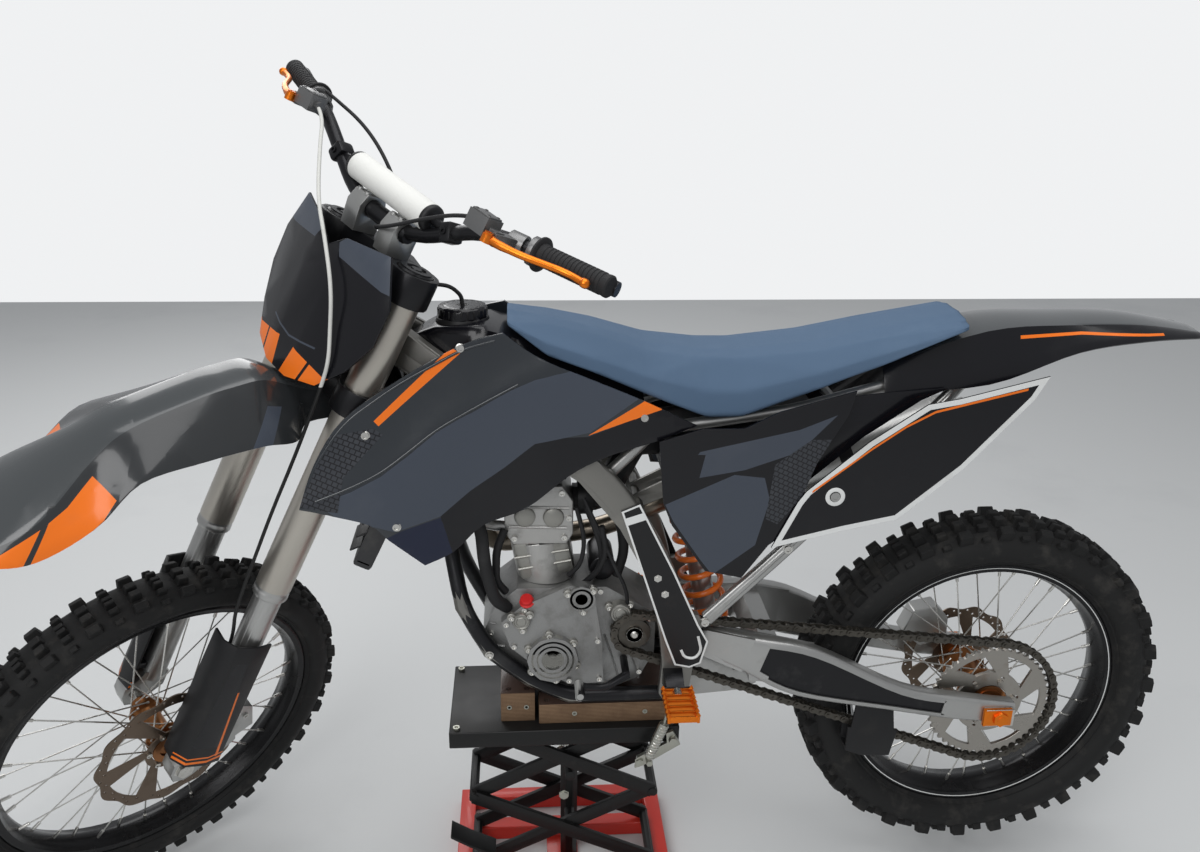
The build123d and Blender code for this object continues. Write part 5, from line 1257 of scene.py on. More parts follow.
FRONT_FENDER = [
    (-78, 676, 24, 672, 42, 646), (-35, 711.7, 28, 708, 48, 676), (62, 711.7, 30, 708, 58, 666),
    (98, 716, 31, 712, 92, 650), (152, 722, 33, 718, 100, 645), (196, 706, 33, 702, 101, 632),
    (240, 684, 33, 680, 101, 616), (330, 628, 34, 622, 102, 578), (372, 592, 44, 575, 104, 503),
    (430, 530, 76, 500, 102, 452), (480, 466, 72, 452, 90, 436), (512, 430, 40, 427, 55, 424),
]
front_areas = [
    ([(124, 690), (150, 690), (182, 628), (156, 622)], 2),
    ([(352, 548), (372, 560), (400, 520), (430, 490), (480, 444), (515, 418), (515, 400), (440, 430), (380, 470)], 3),
    ([(414, 520), (421, 516), (450, 430), (443, 430)], 1),
]
fender(
    "front_fender", FRONT, "steering", "front_fender_sheet", FRONT_FENDER, front_areas,
    [FENDER_TOP_LIT, FENDER_SIDE, PANEL_GREY, ORANGE_PRINT]
)
REAR_FENDER = [
    (262, 642, 66, 638, 92, 600), (92, 698, 60, 692, 92, 612), (-53, 706, 55, 700, 88, 664),
    (-170, 704, 50, 698, 80, 680), (-278, 685, 34, 682, 50, 676),
]
rear_areas = [
    ([(40, 686), (-60, 692), (-200, 688), (-200, 685), (-60, 688), (40, 681)], 2),
]
INNER = [(336, 596), (262, 604), (160, 611), (205, 590), (293, 528), (380, 450), (373, 497)]
inner = []
for left in (102, -99):
    wall = slab("inner_wall", INNER, left, 3, 0.8)
    wall.data.materials.append(GLOSS_BLACK)
    inner.append(wall)
fender(
    "rear_fender", BIKE, "root", "rear_fender_sheet", REAR_FENDER, rear_areas,
    [FENDER_TOP_LIT, GLOSS_BLACK, ORANGE_PRINT], inner
)
print("plate and fenders done")

# %% [markdown]
# Shrouds. A shroud is a wide thin moulding that bows out round the radiator. Above a ridge it leans in, and the
# ridge catches the light. Its outline is one flat face, cut into a grid and along its printed areas while it is
# flat, and only then set out to the left, point by point, as the bow and the lean say.

# %% Shroud surface
SHROUD_RUNS = [
    [(1176, 455), (1140, 445), (1076, 421), (1048, 391), (996, 340)],
    [(996, 340), (950, 357), (904, 397), (837, 423), (771, 476), (710, 508), (632, 532), (567, 557)],
    [(567, 557), (650, 598), (727, 632), (819, 672), (868, 706)],
    [(868, 706), (927, 690), (1025, 640), (1108, 585), (1152, 521), (1176, 455)],
]
SHROUD = [tuple(p) for run in SHROUD_RUNS for p in flowing(run, 4)[:-1]]
SHROUD_LOW, SHROUD_HIGH = 330, 720
# Along the shroud: x, how far left it stands at its low height, and at its high one
BOW = flowing(
    [(560, 121, 113), (760, 129, 119), (880, 138, 122), (1000, 166, 136), (1100, 186, 160), (1190, 194, 176)], 8
)
RIDGE_RUN = [
    (1190, 452), (1055, 501), (971, 566), (908, 597), (857, 625), (820, 640), (761, 654), (640, 640), (540, 600),
]
RIDGE = [tuple(p) for p in flowing(RIDGE_RUN, 4)]


# The lean above the ridge: how far in, how fast it starts, how soft the ridge is, and the base of its curve
LEAN_IN, LEAN_RATE, RIDGE_SOFT, NATURAL = 24, 0.34, 14, 2.718


def shroud_left(x, z):
    """How far left the shroud's outside stands at this place."""
    left = BOW[-1][2]
    for (x0, low0, high0), (x1, low1, high1) in zip(BOW, BOW[1:]):
        if x0 <= x <= x1:
            t = (x - x0) / (x1 - x0)
            low, high = low0 + (low1 - low0) * t, high0 + (high1 - high0) * t
            left = low + (high - low) * (z - SHROUD_LOW) / (SHROUD_HIGH - SHROUD_LOW)
            break
    over = z - 500
    for (x0, z0), (x1, z1) in zip(RIDGE, RIDGE[1:]):
        if x1 <= x <= x0:
            over = z - z0 - (z1 - z0) * (x - x0) / (x1 - x0)
    above = (over + hypot(over, RIDGE_SOFT)) / 2
    low = 0.06 * min(0, over) * min(1, max(0, (x - 800) / 120))
    lean = LEAN_IN * (1 - pow(NATURAL, -above * LEAN_RATE / LEAN_IN))
    return left + low - lean * min(1, max(0.3, (x - 700) / 120))


# %% Honeycomb print
HONEYCOMB = finish("honeycomb_print", (0.035, 0.038, 0.045), (0.06, 0.063, 0.07), 0.3, 0.15, bump=0.02, coat=0.15)
n, l = HONEYCOMB.node_tree.nodes, HONEYCOMB.node_tree.links
cells = n.new("ShaderNodeTexBrick")
cells.offset = 0.5
for socket, value in (
    ("Scale", 56), ("Brick Width", 0.5), ("Row Height", 0.433), ("Mortar Size", 0.05), ("Mortar Smooth", 0.2)
):
    cells.inputs[socket].default_value = value
place = n.new("ShaderNodeTexCoord")
stretch = n.new("ShaderNodeMapping")
stretch.inputs["Rotation"].default_value = (radians(90), 0, radians(25))
l.new(place.outputs["Object"], stretch.inputs["Vector"])
l.new(stretch.outputs["Vector"], cells.inputs["Vector"])
second_colour(HONEYCOMB, cells.outputs["Fac"], (0.006, 0.006, 0.008))

# %% Shrouds
shroud_areas = [
    ([
        (860, 541), (738, 543), (615, 590), (560, 570), (560, 540), (657, 500), (766, 470), (876, 400), (960, 340),
        (969, 421), (923, 458), (868, 495),
    ], 5),
    ([
        (762, 650), (660, 603), (735, 550), (821, 533), (868, 495), (923, 458), (969, 421), (1038, 404),
        (1123, 439), (1150, 462), (1100, 478), (1055, 498), (1012, 528), (971, 560), (938, 578), (908, 592),
        (880, 608), (857, 620), (820, 636),
    ], 1),
    ([(738, 545), (648, 601), (615, 588)], 2), ([(1063, 581), (946, 686), (932, 677), (1056, 573)], 2),
    ([(969, 419), (945, 323), (1000, 319), (1060, 392), (1030, 404)], 3),
    ([(1177, 459), (1127, 563), (1064, 570), (1050, 560), (1110, 500), (1120, 446)], 4),
]
shroud = from_points("shroud", [(x, 0, z) for x, z in SHROUD], [], [list(range(len(SHROUD)))])
alone(shroud)
bpy.ops.object.mode_set(mode="EDIT")
GRID = 15
cuts = [((x, 0, 0), (1, 0, 0)) for x in range(575, 1176, GRID)]
cuts += [((0, 0, z), (0, 0, 1)) for z in range(345, 706, GRID)]
for cut, normal in cuts:
    bpy.ops.mesh.select_all(action="SELECT")
    bpy.ops.mesh.bisect(plane_co=Vector(cut) * MM, plane_no=normal)
leave()
printed(shroud, shroud_areas, [GLOSS_GREY, PANEL_GREY, ORANGE_PRINT, NAVY, HONEYCOMB, GLOSS_BLACK])
edit_all(shroud)
bpy.ops.mesh.remove_doubles(threshold=0.0006)
leave()
for vertex in shroud.data.vertices:
    vertex.co.y = shroud_left(vertex.co.x / MM, vertex.co.z / MM) * MM
facing(shroud, Vector((0, 1, 0)))
modify(shroud, "SOLIDIFY", thickness=5 * MM, offset=-1)
soften(shroud, 1.0, 60)
smooth(shroud, 35)
beads = []
for run, radius in (
    ([(1152, 466), (1100, 484), (1055, 503), (1012, 533), (971, 564), (908, 597), (846, 629)], 2.6),
    ([(1163, 488), (1152, 516), (1108, 580), (1025, 634), (927, 683), (880, 694)], 2.6),
):
    bead = bar("ridge", [(x, shroud_left(x, z) - 1.4, z) for x, z in run], radius, 30, 12)
    bead.data.materials.append(GLOSS_GREY)
    beads.append(bead)
shroud = join([shroud] + beads, "shroud")
shrouds = [shroud, mirrored(shroud)]
for y in (1, -1):
    for x, z in ((932, 684), (1076, 560), (1036, 412), (650, 572)):
        screw = bolt("shroud_screw", (x, y * (shroud_left(x, z) - 0.5), z), (0, y, 0.1), 6, 3)
        screw.data.materials.append(SPOKE_STEEL)
        shrouds.append(screw)
fit(shrouds, "shroud_pair", BIKE, "root", None, ("shrouds",))
print("shrouds done")


# %% [markdown]
# Seat. Foam under a tight grippy cover: crowned along its top, with its sides falling to the panels. The coarse
# packed block is divided and smoothed three times, and creases along its sharp edges hold its form.

# %% Seat
seat = from_cad("seat", BIKE, 0)
creased(seat, 62, 0.55, 3)
smooth(seat, 60)
fit(seat, "seat_cushion", BIKE, "root", SEAT_BLUE, ("seat",))
print("seat done")

# %% [markdown]
# Side panels and rear plates are flat mouldings a few millimetres thick. An inset of the outer face makes the
# white rim of a plate, and the orange line inside it is a printed area.

# %% Side panels
PANEL_Y = 130
LEFT_PANEL = [
    (627, 535), (617, 429), (602, 391), (544, 307), (483, 293), (442, 352), (415, 373), (395, 430), (373, 497),
    (330, 576), (320, 616), (438, 583), (493, 556), (560, 556),
]
RIGHT_PANEL = [
    (627, 535), (617, 429), (608, 396), (424, 384), (395, 430), (373, 497), (330, 576), (320, 616), (438, 583),
    (493, 556), (560, 556),
]
panel_areas = [
    ([(614, 428), (505, 478), (456, 472), (445, 433), (464, 353), (532, 300), (553, 328), (600, 398)], 1),
    ([(612, 446), (560, 474), (489, 486), (403, 516), (347, 577), (406, 553), (562, 518)], 1),
    ([(441, 494), (385, 536), (353, 536), (396, 432), (430, 390), (450, 400)], 2),
    ([(606, 514), (553, 513), (564, 460), (615, 440)], 0),
]
panels = []
for outline, left in ((LEFT_PANEL, PANEL_Y), (RIGHT_PANEL, 4 - PANEL_Y)):
    panels.append(slab("panel", outline, left, 4, 0))
pegs = [
    rod("peg", (x, y0, z), (x, y1, z), 7, 12)
    for x, z in ((440, 470), (590, 490)) for y0, y1 in ((129, 71.5), (-71.5, -129))
]
panels.append(join(pegs, "pegs"))
panels = join(panels, "side_panel_pair")
printed(panels, panel_areas, [GLOSS_BLACK, PANEL_GREY, HONEYCOMB])
soften(panels, 1.2, 50)
fit(panels, "side_panel_pair", BIKE, "root", None, ("side_panels",))

# %% Rear plates
LEFT_PLATE = [
    (438, 349), (400, 430), (387, 449), (293, 532), (205, 594), (155, 603), (15, 639), (34, 601), (134, 484),
    (234, 396), (321, 378),
]
RIGHT_PLATE = [
    (428, 380), (400, 430), (387, 449), (293, 532), (205, 594), (155, 603), (15, 639), (34, 601), (80, 552),
]


def rimmed(name, outline, left, thickness, rims, materials):
    """A plate whose outer face has rims, each (width, index of its finish); what is left keeps the first finish."""
    piece = slab(name, outline, left, thickness, 0)
    for material in materials:
        piece.data.materials.append(material)
    outward = 1 if left > 0 else -1
    pick(piece, lambda c, n: n.y * outward > 0.9)
    for width, index in rims:
        bpy.ops.mesh.inset(thickness=width * MM, use_even_offset=True)
        leave()
        chosen = [f.index for f in piece.data.polygons if f.select]
        for face in piece.data.polygons:
            if face.normal.y * outward > 0.9 and not face.select and face.material_index == 0 and index != 0:
                face.material_index = index
        for i in chosen:
            piece.data.polygons[i].material_index = 0
        bpy.ops.object.mode_set(mode="EDIT")
    leave()
    return piece


PLATE_FACE = 134.3
ORANGE_LINE = [(378, 446), (286, 520), (236, 556), (192, 580), (120, 598), (48, 616)]
stripe = [
    (ORANGE_LINE[k:k + 2] + [(x, z + 4) for x, z in reversed(ORANGE_LINE[k:k + 2])], 2)
    for k in range(len(ORANGE_LINE) - 1)
]
plates = []
for outline, left in ((LEFT_PLATE, PLATE_FACE), (RIGHT_PLATE, 4 - PLATE_FACE)):
    outward = 1 if left > 0 else -1
    plate = rimmed("plate", outline, left, 4, [(9, 1)], [GLOSS_BLACK, WHITE_PLASTIC, ORANGE_PRINT])
    printed(plate, stripe, [])
    soften(plate, 0.8, 50)
    plates.append(plate)
    y = PLATE_FACE if left > 0 else -PLATE_FACE
    ring = turned("screw_ring", [(9, 0), (16, 0), (16, 0.8), (15, 1.2), (10, 1.2), (9, 0.6)], 32)
    ring.data.materials.append(WHITE_PLASTIC)
    plates.append(moved(ring, across((340, y, 439), outward)))
    screw = bolt("plate_screw", (340, y, 439), (0, outward, 0), 8, 2)
    screw.data.materials.append(BRIGHT_METAL)
    plates.append(screw)
peg = join([rod("peg", (240, y0, 490), (240, y1, 490), 7, 12) for y0, y1 in ((131, 86.9), (-86.9, -131))], "pegs")
peg.data.materials.append(GLOSS_BLACK)
plates = join(plates + [peg], "rear_plate_pair")
fit(smooth(plates, 30), "rear_plate_pair", BIKE, "root", None, ("number_plates",))
print("panels done")

# %% [markdown]
# Frame. The spars and the swingarm are box beams that change height along their length. Such a beam is a row of
# rounded rectangles joined into a skin, with a smooth curve drawn through the stations where it was measured.

# %% Tools: beams and coated parts


def coated(piece, material):
    """Give a part its finish before it is joined to parts with other finishes."""
    piece.data.materials.clear()
    piece.data.materials.append(material)
    return piece


def add(piece, material):
    """Coat a part and put it with the others of its cell, which wait in the list called parts."""
    parts.append(coated(piece, material))


def beam(name, stations, ease=6, rounds=3, steps=4):
    """A box beam with rounded corners; each station is (x, left, z, width, depth)."""
    rows = flowing(stations, steps)
    points, count = [], 4 * (rounds + 1)
    for i, (x, left, z, width, depth) in enumerate(rows):
        a, b = rows[max(i - 1, 0)], rows[min(i + 1, len(rows) - 1)]
        run = Vector((b[0] - a[0], 0, b[2] - a[2])).normalized()
        up = Vector((-run.z, 0, run.x))
        e = min(ease, width * 0.45, depth * 0.45)
        for side_u, side_v, start in ((1, 1, 0), (-1, 1, 90), (-1, -1, 180), (1, -1, 270)):
            for k in range(rounds + 1):
                turn = radians(start + 90 * k / rounds)
                u = side_u * (width / 2 - e) + e * cos(turn)
                v = side_v * (depth / 2 - e) + e * sin(turn)
                points.append(Vector((x, left + u, z)) + up * v)
    faces = [list(range(count)), list(range(len(points) - count, len(points)))]
    for i in range(len(rows) - 1):
        for k in range(count):
            m = (k + 1) % count
            faces.append([i * count + k, i * count + m, (i + 1) * count + m, (i + 1) * count + k])
    return smooth(tidy(from_points(name, points, [], faces)), 45)


def both_sides(piece):
    return [piece, mirrored(piece)]


# %% Frame
SPAR = [
    (1082, 26, 706, 24.6, 60), (1000, 54, 650, 24.6, 56), (880, 94, 578, 24.6, 46), (735, 104, 480, 24.6, 46),
    (665, 104, 392, 24.6, 46), (612, 104, 290, 24.6, 46), (588, 104, 190, 24.6, 52),
]
CRADLE = [(970, 24, 345), (945, 78, 222), (901, 78, 133), (833, 78, 75), (763, 78, 38), (575, 78, 38)]
parts = [coated(from_cad("frame", BIKE, 2, 30), FRAME_PAINT)]
parts += [coated(p, FRAME_PAINT) for p in both_sides(beam("spar", SPAR, 7))]
parts += [coated(p, BLACK_METAL) for p in both_sides(bar("cradle", CRADLE, 13.4, 34, 20))]
add(bar("down_tube", [(1082, 0, 706), (985, 0, 330)], 20.4, 1, 24), BLACK_METAL)
for y in (1, -1):
    for x, z in ((607, 260), (620, 290)):
        add(bolt("mount_bolt", (x, y * 116, z), (0, y, 0), 7, 5, False), SPOKE_STEEL)
    add(bolt("spar_bolt", (905, y * 101, 590), (0.3, y, 0.2), 6, 4), SPOKE_STEEL)
    add(bolt("cradle_bolt", (901, y * 92, 133), (0, y, 0), 6, 4), SPOKE_STEEL)
    add(bar("weld", [(1052, y * 40, 712), (1062, y * 37, 690), (1060, y * 38, 668)], 3, 6, 8), FRAME_PAINT)
fit(parts, "frame_welded", BIKE, "root", None, ("frame",))

# %% Frame guards
GUARD = [(683, 412), (653, 425), (592, 300), (548, 200), (530, 167), (541, 124), (560, 116), (586, 122), (604, 170)]
guards = []
for left in (120.3, -116.3):
    guard = rimmed("guard", GUARD, left, 4, [(3.2, 1)], [BLACK_PLASTIC, WHITE_PLASTIC])
    y = 1 if left > 0 else -1
    printed(guard, [([(700, 392), (640, 412), (634, 400), (694, 380)], 1)], [])
    hook = bar(
        "hook",
        [
            (548, y * 120.5, 178), (541, y * 120.5, 150), (552, y * 120.5, 134), (570, y * 120.5, 138),
            (576, y * 120.5, 152)
        ],
        2.6, 12, 8
    )
    guards += [guard, coated(hook, WHITE_PLASTIC)]
fit(
    smooth(join(guards, "frame_guard_pair"), 35), "frame_guard_pair", BIKE, "root", None,
    ("frame_guards",)
)

# %% Subframe
RAIL = [(712, 81.6, 452), (628, 81.6, 538), (493, 79, 556.3), (400, 76, 568), (108, 56, 640)]
STRUT = [(532, 103, 202, 15, 24), (381, 88, 345, 15, 24), (150, 68, 582, 15, 22), (118, 58, 630, 15, 21)]
parts = [coated(from_cad("subframe", BIKE, 1.5, 30), BRIGHT_METAL)]
parts += [coated(p, BRIGHT_METAL) for p in both_sides(beam("strut", STRUT, 5))]
parts += [coated(p, BRIGHT_METAL) for p in both_sides(bar("rail", RAIL, 10.3, 25, 16))]
for y in (1, -1):
    for x, z, w in ((536, 200, 112), (400, 328, 98.5), (250, 480, 85)):
        add(bolt("strut_bolt", (x, y * w, z), (0, y, 0), 7, 4), SPOKE_STEEL)
fit(parts, "subframe_welded", BIKE, "root", None, ("subframe",))
print("frame done")

# %% [markdown]
# Tank and its cap. The tank is moulded plastic, so its coarse body is smoothed by subdivision. The screw cap is
# turned with grip ribs round its edge, and a short vent hose stands on it.

# %% Tank
tank = from_cad("fuel_tank", BIKE, 0)
creased(tank, 60, 0.6, 2)
coated(smooth(tank, 40), GLOSS_BLACK)
cap = turned(
    "cap",
    [
        (0, 692), (43, 692), (43.4, 700), (41, 706), (37.5, 708), (37.5, 720), (36, 723.4), (30, 724), (26, 721),
        (12, 721), (10, 724), (0, 724)
    ],
    64, closed=False
)
rib = block("rib", (38, 0, 713), (4, 3.4, 15), 1)
ribs = round_array(rib, 24)
cap = coated(moved(join([cap, ribs], "cap"), at(933, 0, 0)), BLACK_PLASTIC)
vent = coated(
    bar("vent", [(933, 0, 722), (934, 0, 738), (950, 8, 756), (990, 12, 762), (1020, 14, 775)], 3.4, 16, 12),
    GRIP_RUBBER
)
fit([tank, cap, vent], "fuel_tank_body", BIKE, "root", None, ("fuel_tank",))

# %% Radiators: a finned core between an upper and a lower tank, with slanted louvres before it
HEAD_TURN = place_from((0, 0, 0), (cos(RAKE), 0, sin(RAKE)), (-sin(RAKE), 0, cos(RAKE)))
COOLER_X = STEER_FOOT[0] - 610 * sin(RAKE) - 160 * cos(RAKE)
COOLER_Z = STEER_FOOT[2] + 610 * cos(RAKE) - 160 * sin(RAKE)
radiators = []
for y in (1, -1):
    parts = [coated(block("core", (0, 0, 0), (22, 84, 205), 0.5), COOLER)]
    fin = block("fin", (0, 0, -100), (28, 84, 1.2), 0)
    modify(
        fin, "ARRAY", count=51, use_relative_offset=False, use_constant_offset=True,
        constant_offset_displace=(0, 0, 0.004)
    )
    add(fin, COOLER)
    for z in (109, -109):
        add(block("tank", (0, 0, z), (30, 90, 17), 5), COOLER)
    for side in (43, -43):
        add(block("edge", (0, side, 0), (30, 4, 218), 1), COOLER)
    for k in range(8):
        louvre = block("louvre", (0, 0, 0), (3, 88, 20), 1)
        add(moved(louvre, at(21, 0, -88 + 25 * k) @ Matrix.Rotation(radians(-42), 4, "Y")), BLACK_PLASTIC)
    radiators.append(
        moved(join(parts, "radiator"), Matrix.Translation(Vector((COOLER_X, y * 96, COOLER_Z)) * MM) @ HEAD_TURN)
    )
fit(radiators, "radiator_pair", BIKE, "root", None, ("radiators",))
for node, slot, material, width in (
    ("airbox", "black_plastic", BLACK_PLASTIC, 3), ("intake", "black_plastic", BLACK_PLASTIC, 1),
    ("front_sprocket", "chain_steel", CHAIN_STEEL, 0.5), ("rear_axle", "spoke_steel", SPOKE_STEEL, 0.8),
    ("pivot_bolt", "spoke_steel", SPOKE_STEEL, 0.8),
):
    dress(node, BIKE, "root", material, width)
print("tank and radiators done")

# %% [markdown]
# Engine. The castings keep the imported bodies' shapes with eased edges. On them goes what a casting carries: covers
# with a turned rim, bolts round their edges, ribs, a red filler plug, a starter and the hoses.

# %% Engine case
LEFT_COVER = [(704, 66), (762, 64), (812, 92), (866, 142), (880, 190), (846, 220), (764, 258), (724, 254), (708, 150)]
parts = [coated(from_cad("engine_case", BIKE, 2.5, 38, 3), CAST_METAL)]


def round_cover(x, z, y0, y1, radius, bolts, material, rings=2):
    """A round cover standing on a case from y0 to y1, with bolts round its edge."""
    deep = abs(y1 - y0)
    outline = [(0, deep), (radius * 0.35, deep)]
    for k in range(rings):
        r = radius * (0.45 + 0.2 * k)
        outline += [(r, deep), (r + 1.5, deep - 1.6), (r + 4, deep - 1.6), (r + 5.5, deep)]
    outline += [(radius * 0.86, deep), (radius * 0.95, deep - 2), (radius, deep - 5), (radius, 0)]
    side = 1 if y1 > y0 else -1
    cover = turned("cover", outline, 64, closed=False)
    found = [coated(moved(cover, across((x, y0, z), side)), material)]
    for k in range(bolts):
        turn = 2 * pi * k / bolts + 0.4
        lug = turned(
            "lug", [(0, min(deep, 9)), (6, min(deep, 9)), (7.5, min(deep, 9) - 1), (7.5, 0)], 20, closed=False
        )
        spot = (x + cos(turn) * (radius + 2), y0, z + sin(turn) * (radius + 2))
        found.append(coated(moved(lug, across(spot, side)), material))
        found.append(coated(bolt(
            "cover_bolt", (spot[0], y0 + side * min(deep, 9), spot[2]), (0, side, 0), 4.4, 4
        ), SPOKE_STEEL))
    return found


parts += round_cover(793, 122, 80, 96, 43, 6, COVER_METAL)
parts += round_cover(744, 236, 80, 90, 23, 3, COVER_METAL, 1)
parts += round_cover(735, 140, -91, -124, 65, 7, COVER_METAL, 3)
for x, z in LEFT_COVER:
    middle = Vector((788, 0, 156))
    spot = Vector((x, 82, z)).lerp(Vector((middle.x, 82, middle.z)), 0.09)
    add(bolt("case_bolt", spot, (0, 1, 0), 4.6, 4), SPOKE_STEEL)
for x, z in (
    (640, 74), (700, 48), (796, 48), (850, 78), (898, 124), (898, 160), (878, 208), (710, 236), (664, 208), (626, 180)
):
    for y in (62, -62):
        add(bolt("case_bolt", (x, y, z), (0, y, 0), 4.6, 4), SPOKE_STEEL)
for k in range(5):
    add(bar("rib", [
        (640 + 34 * k, 62.5, 60 - 4 * k), (655 + 34 * k, 62.5, 108), (668 + 34 * k, 62.5, 150),
    ], 2.2, 10, 8), CAST_METAL)
plug = turned("filler", [(0, 12), (9, 12), (11, 10), (11, 3), (13, 2), (13, 0)], 12, closed=False)
add(moved(plug, place_from((836, 76, 226), (1, 0, 0), (0.2, 0.5, 1))), RED_PLUG)
add(bar("engine_hose", [
    (870, 60, 208), (890, 84, 236), (905, 88, 300), (910, 80, 372), (935, 84, 420),
], 11, 26, 16), GRIP_RUBBER)
add(bar("breather", [(740, 50, 244), (716, 66, 276), (702, 84, 320), (712, 88, 372)], 5, 22, 12), GRIP_RUBBER)
shaft = turned("shaft", [(0, 88), (5, 88), (7, 86), (14, 86), (14, 60)], 24, closed=False)
add(moved(shaft, across((652, 0, 162))), SPOKE_STEEL)
starter = turned(
    "starter", [(0, -46), (20, -46), (23, -43), (23, 30), (21, 33), (21, 38), (14, 40), (0, 40)], 40, closed=False
)
add(moved(starter, across((706, 0, 266))), BLACK_METAL)
parts += round_cover(676, 200, 62, 80, 19, 3, COVER_METAL, 1)
parts += round_cover(846, 196, 80, 92, 16, 3, COVER_METAL, 1)
for route, radius in (
    ([(716, 46, 262), (706, 62, 300), (716, 66, 346), (734, 40, 384)], 6),
    ([(764, 52, 262), (744, 66, 292), (738, 70, 340), (752, 58, 392)], 4),
    ([(664, 70, 214), (668, 84, 250), (690, 88, 300), (716, 80, 360), (740, 60, 410)], 3.4),
    ([(872, 56, 236), (888, 66, 262), (886, 64, 320), (872, 54, 352)], 7),
    ([(680, 30, 250), (668, 40, 300), (676, 44, 360), (700, 30, 400)], 9),
):
    add(bar("engine_line", route, radius, 24, 12), GRIP_RUBBER)
for z in (108, 132, 176):
    add(bar("case_rib", [(868 + (z - 108) * 0.3, 62.5, z), (900, 62.5, z + 4)], 2, 1, 8), CAST_METAL)
fit(parts, "engine_castings", BIKE, "root", None, ("engine_case",))

# %% Cylinder and head
parts = [coated(from_cad("cylinder", BIKE, 2.5, 38, 3), CYLINDER_METAL)]
jacket = slab("jacket", [(752, 264), (846, 248), (862, 320), (766, 328)], 45, 90, 9)
add(jacket, COVER_METAL)
for x0, z0, x1, z1 in ((760, 288, 850, 272), (764, 308, 856, 294)):
    add(bar("jacket_rib", [(x0, 45.5, z0), (x1, 45.5, z1)], 2.4, 1, 8), COVER_METAL)
add(bar("water_pipe", [(858, 38, 350), (888, 46, 356), (910, 66, 372)], 9, 14, 16), BRIGHT_METAL)
for x, z in ((772, 334), (856, 334), (862, 404), (776, 416), (816, 420), (764, 370)):
    for y in (51, -51):
        add(bolt("head_bolt", (x, y, z), (0, y, 0), 5, 4), SPOKE_STEEL)
for x0, x1, z in ((768, 864, 352), (764, 866, 388)):
    add(bar("head_rib", [(x0, 51.5, z), (x1, 51.5, z + 4)], 2.6, 1, 8), CYLINDER_METAL)
cover = turned("cam_cover", [(0, 7), (14, 7), (17, 5), (18, 0)], 32, closed=False)
for x, z in ((790, 372), (838, 374)):
    add(moved(copy_of(cover), across((x, 50.5, z))), COVER_METAL)
bpy.data.objects.remove(cover)
add(bar("plug_lead", [(815, 0, 426), (815, 10, 440), (800, 40, 452), (770, 60, 448)], 4, 16, 12), GRIP_RUBBER)
fit(parts, "cylinder_head", BIKE, "root", None, ("cylinder",))
print("engine done")

# %% [markdown]
# Exhaust. The pipe is a bent steel tube that leaves the front of the head, passes the right of the engine and
# ends in the silencer. Weld beads mark its joints; the silencer has a ring of rivets near each end and a strap.

# %% Exhaust pipe
PIPE_Y, SILENCER_Y = 72, 154
HEADER = [
    (872.3, 0, 380), (925, 0, 380), (925, -46, 332), (892, -PIPE_Y, 264), (700, -PIPE_Y, 292), (592, -PIPE_Y, 342),
    (526, -104, 345), (468, -SILENCER_Y, 303), (420.5, -SILENCER_Y, 321.5),
]
parts = [coated(bar("pipe", HEADER, 18.3, 30, 24), PIPE_STEEL)]
for spot, toward in (
    ((880, 0, 380), (1, 0, 0)), ((800, -PIPE_Y, 277.5), (-1, 0, 0.14)), ((650, -PIPE_Y, 315), (-1, 0, 0.46)),
    ((444, -SILENCER_Y, 312), (-1, 0, 0.4))
):
    bead = turned("bead", [(18, -3), (21, -2.4), (22, 0), (21, 2.4), (18, 3)], 32)
    side = Vector(toward).cross(Vector((0, 1, 0)))
    add(moved(bead, place_from(spot, side, toward)), PIPE_STEEL)
fit(parts, "exhaust_pipe", BIKE, "root", None, ("exhaust",))

# %% Silencer
START, STOP = Vector((420, -SILENCER_Y, 322)), Vector((40, -SILENCER_Y, 470))
length = (STOP - START).length
muffler = turned("muffler", [
    (0, -0.3), (22, -0.3), (38, 6), (45, 16), (46.3, 20), (46.3, 34), (45.4, 35), (45.4, length - 35),
    (46.3, length - 34), (46.3, length - 14), (44, length - 6), (30, length), (26.3, length + 2),
    (26.3, length + 28), (24, length + 30), (20, length + 30), (19, length + 10), (0, length + 6),
], 64, closed=False)
coated(muffler, BRIGHT_METAL)
rivets = []
for height in (27, length - 24):
    for k in range(16):
        turn = 2 * pi * k / 16
        stud = turned("rivet", [(0, 1.4), (1.8, 1.2), (3, 0)], 10, closed=False)
        out_x = Vector((cos(turn), sin(turn), 0))
        rivets.append(
            coated(moved(stud, place_from(out_x * 46.2 + Vector((0, 0, height)), (0, 0, 1), out_x)), SPOKE_STEEL)
        )
strap = coated(turned("strap", [(45.2, 180), (46.3, 180), (46.3, 206), (45.2, 206)], 64), BLACK_METAL)
whole = join([muffler, strap] + rivets, "silencer_body")
fit(
    whole, "silencer_body", BIKE @ place_from(START, (0, 1, 0), STOP - START), "root", None,
    ("silencer",)
)

# %% [markdown]
# Swingarm. Two cast beams, tall in the middle, with a dark pocket sunk into each outer face. Orange blocks at its
# ends hold the axle and are set by screws. The pocket is an inset that is pushed in, with its own finish.

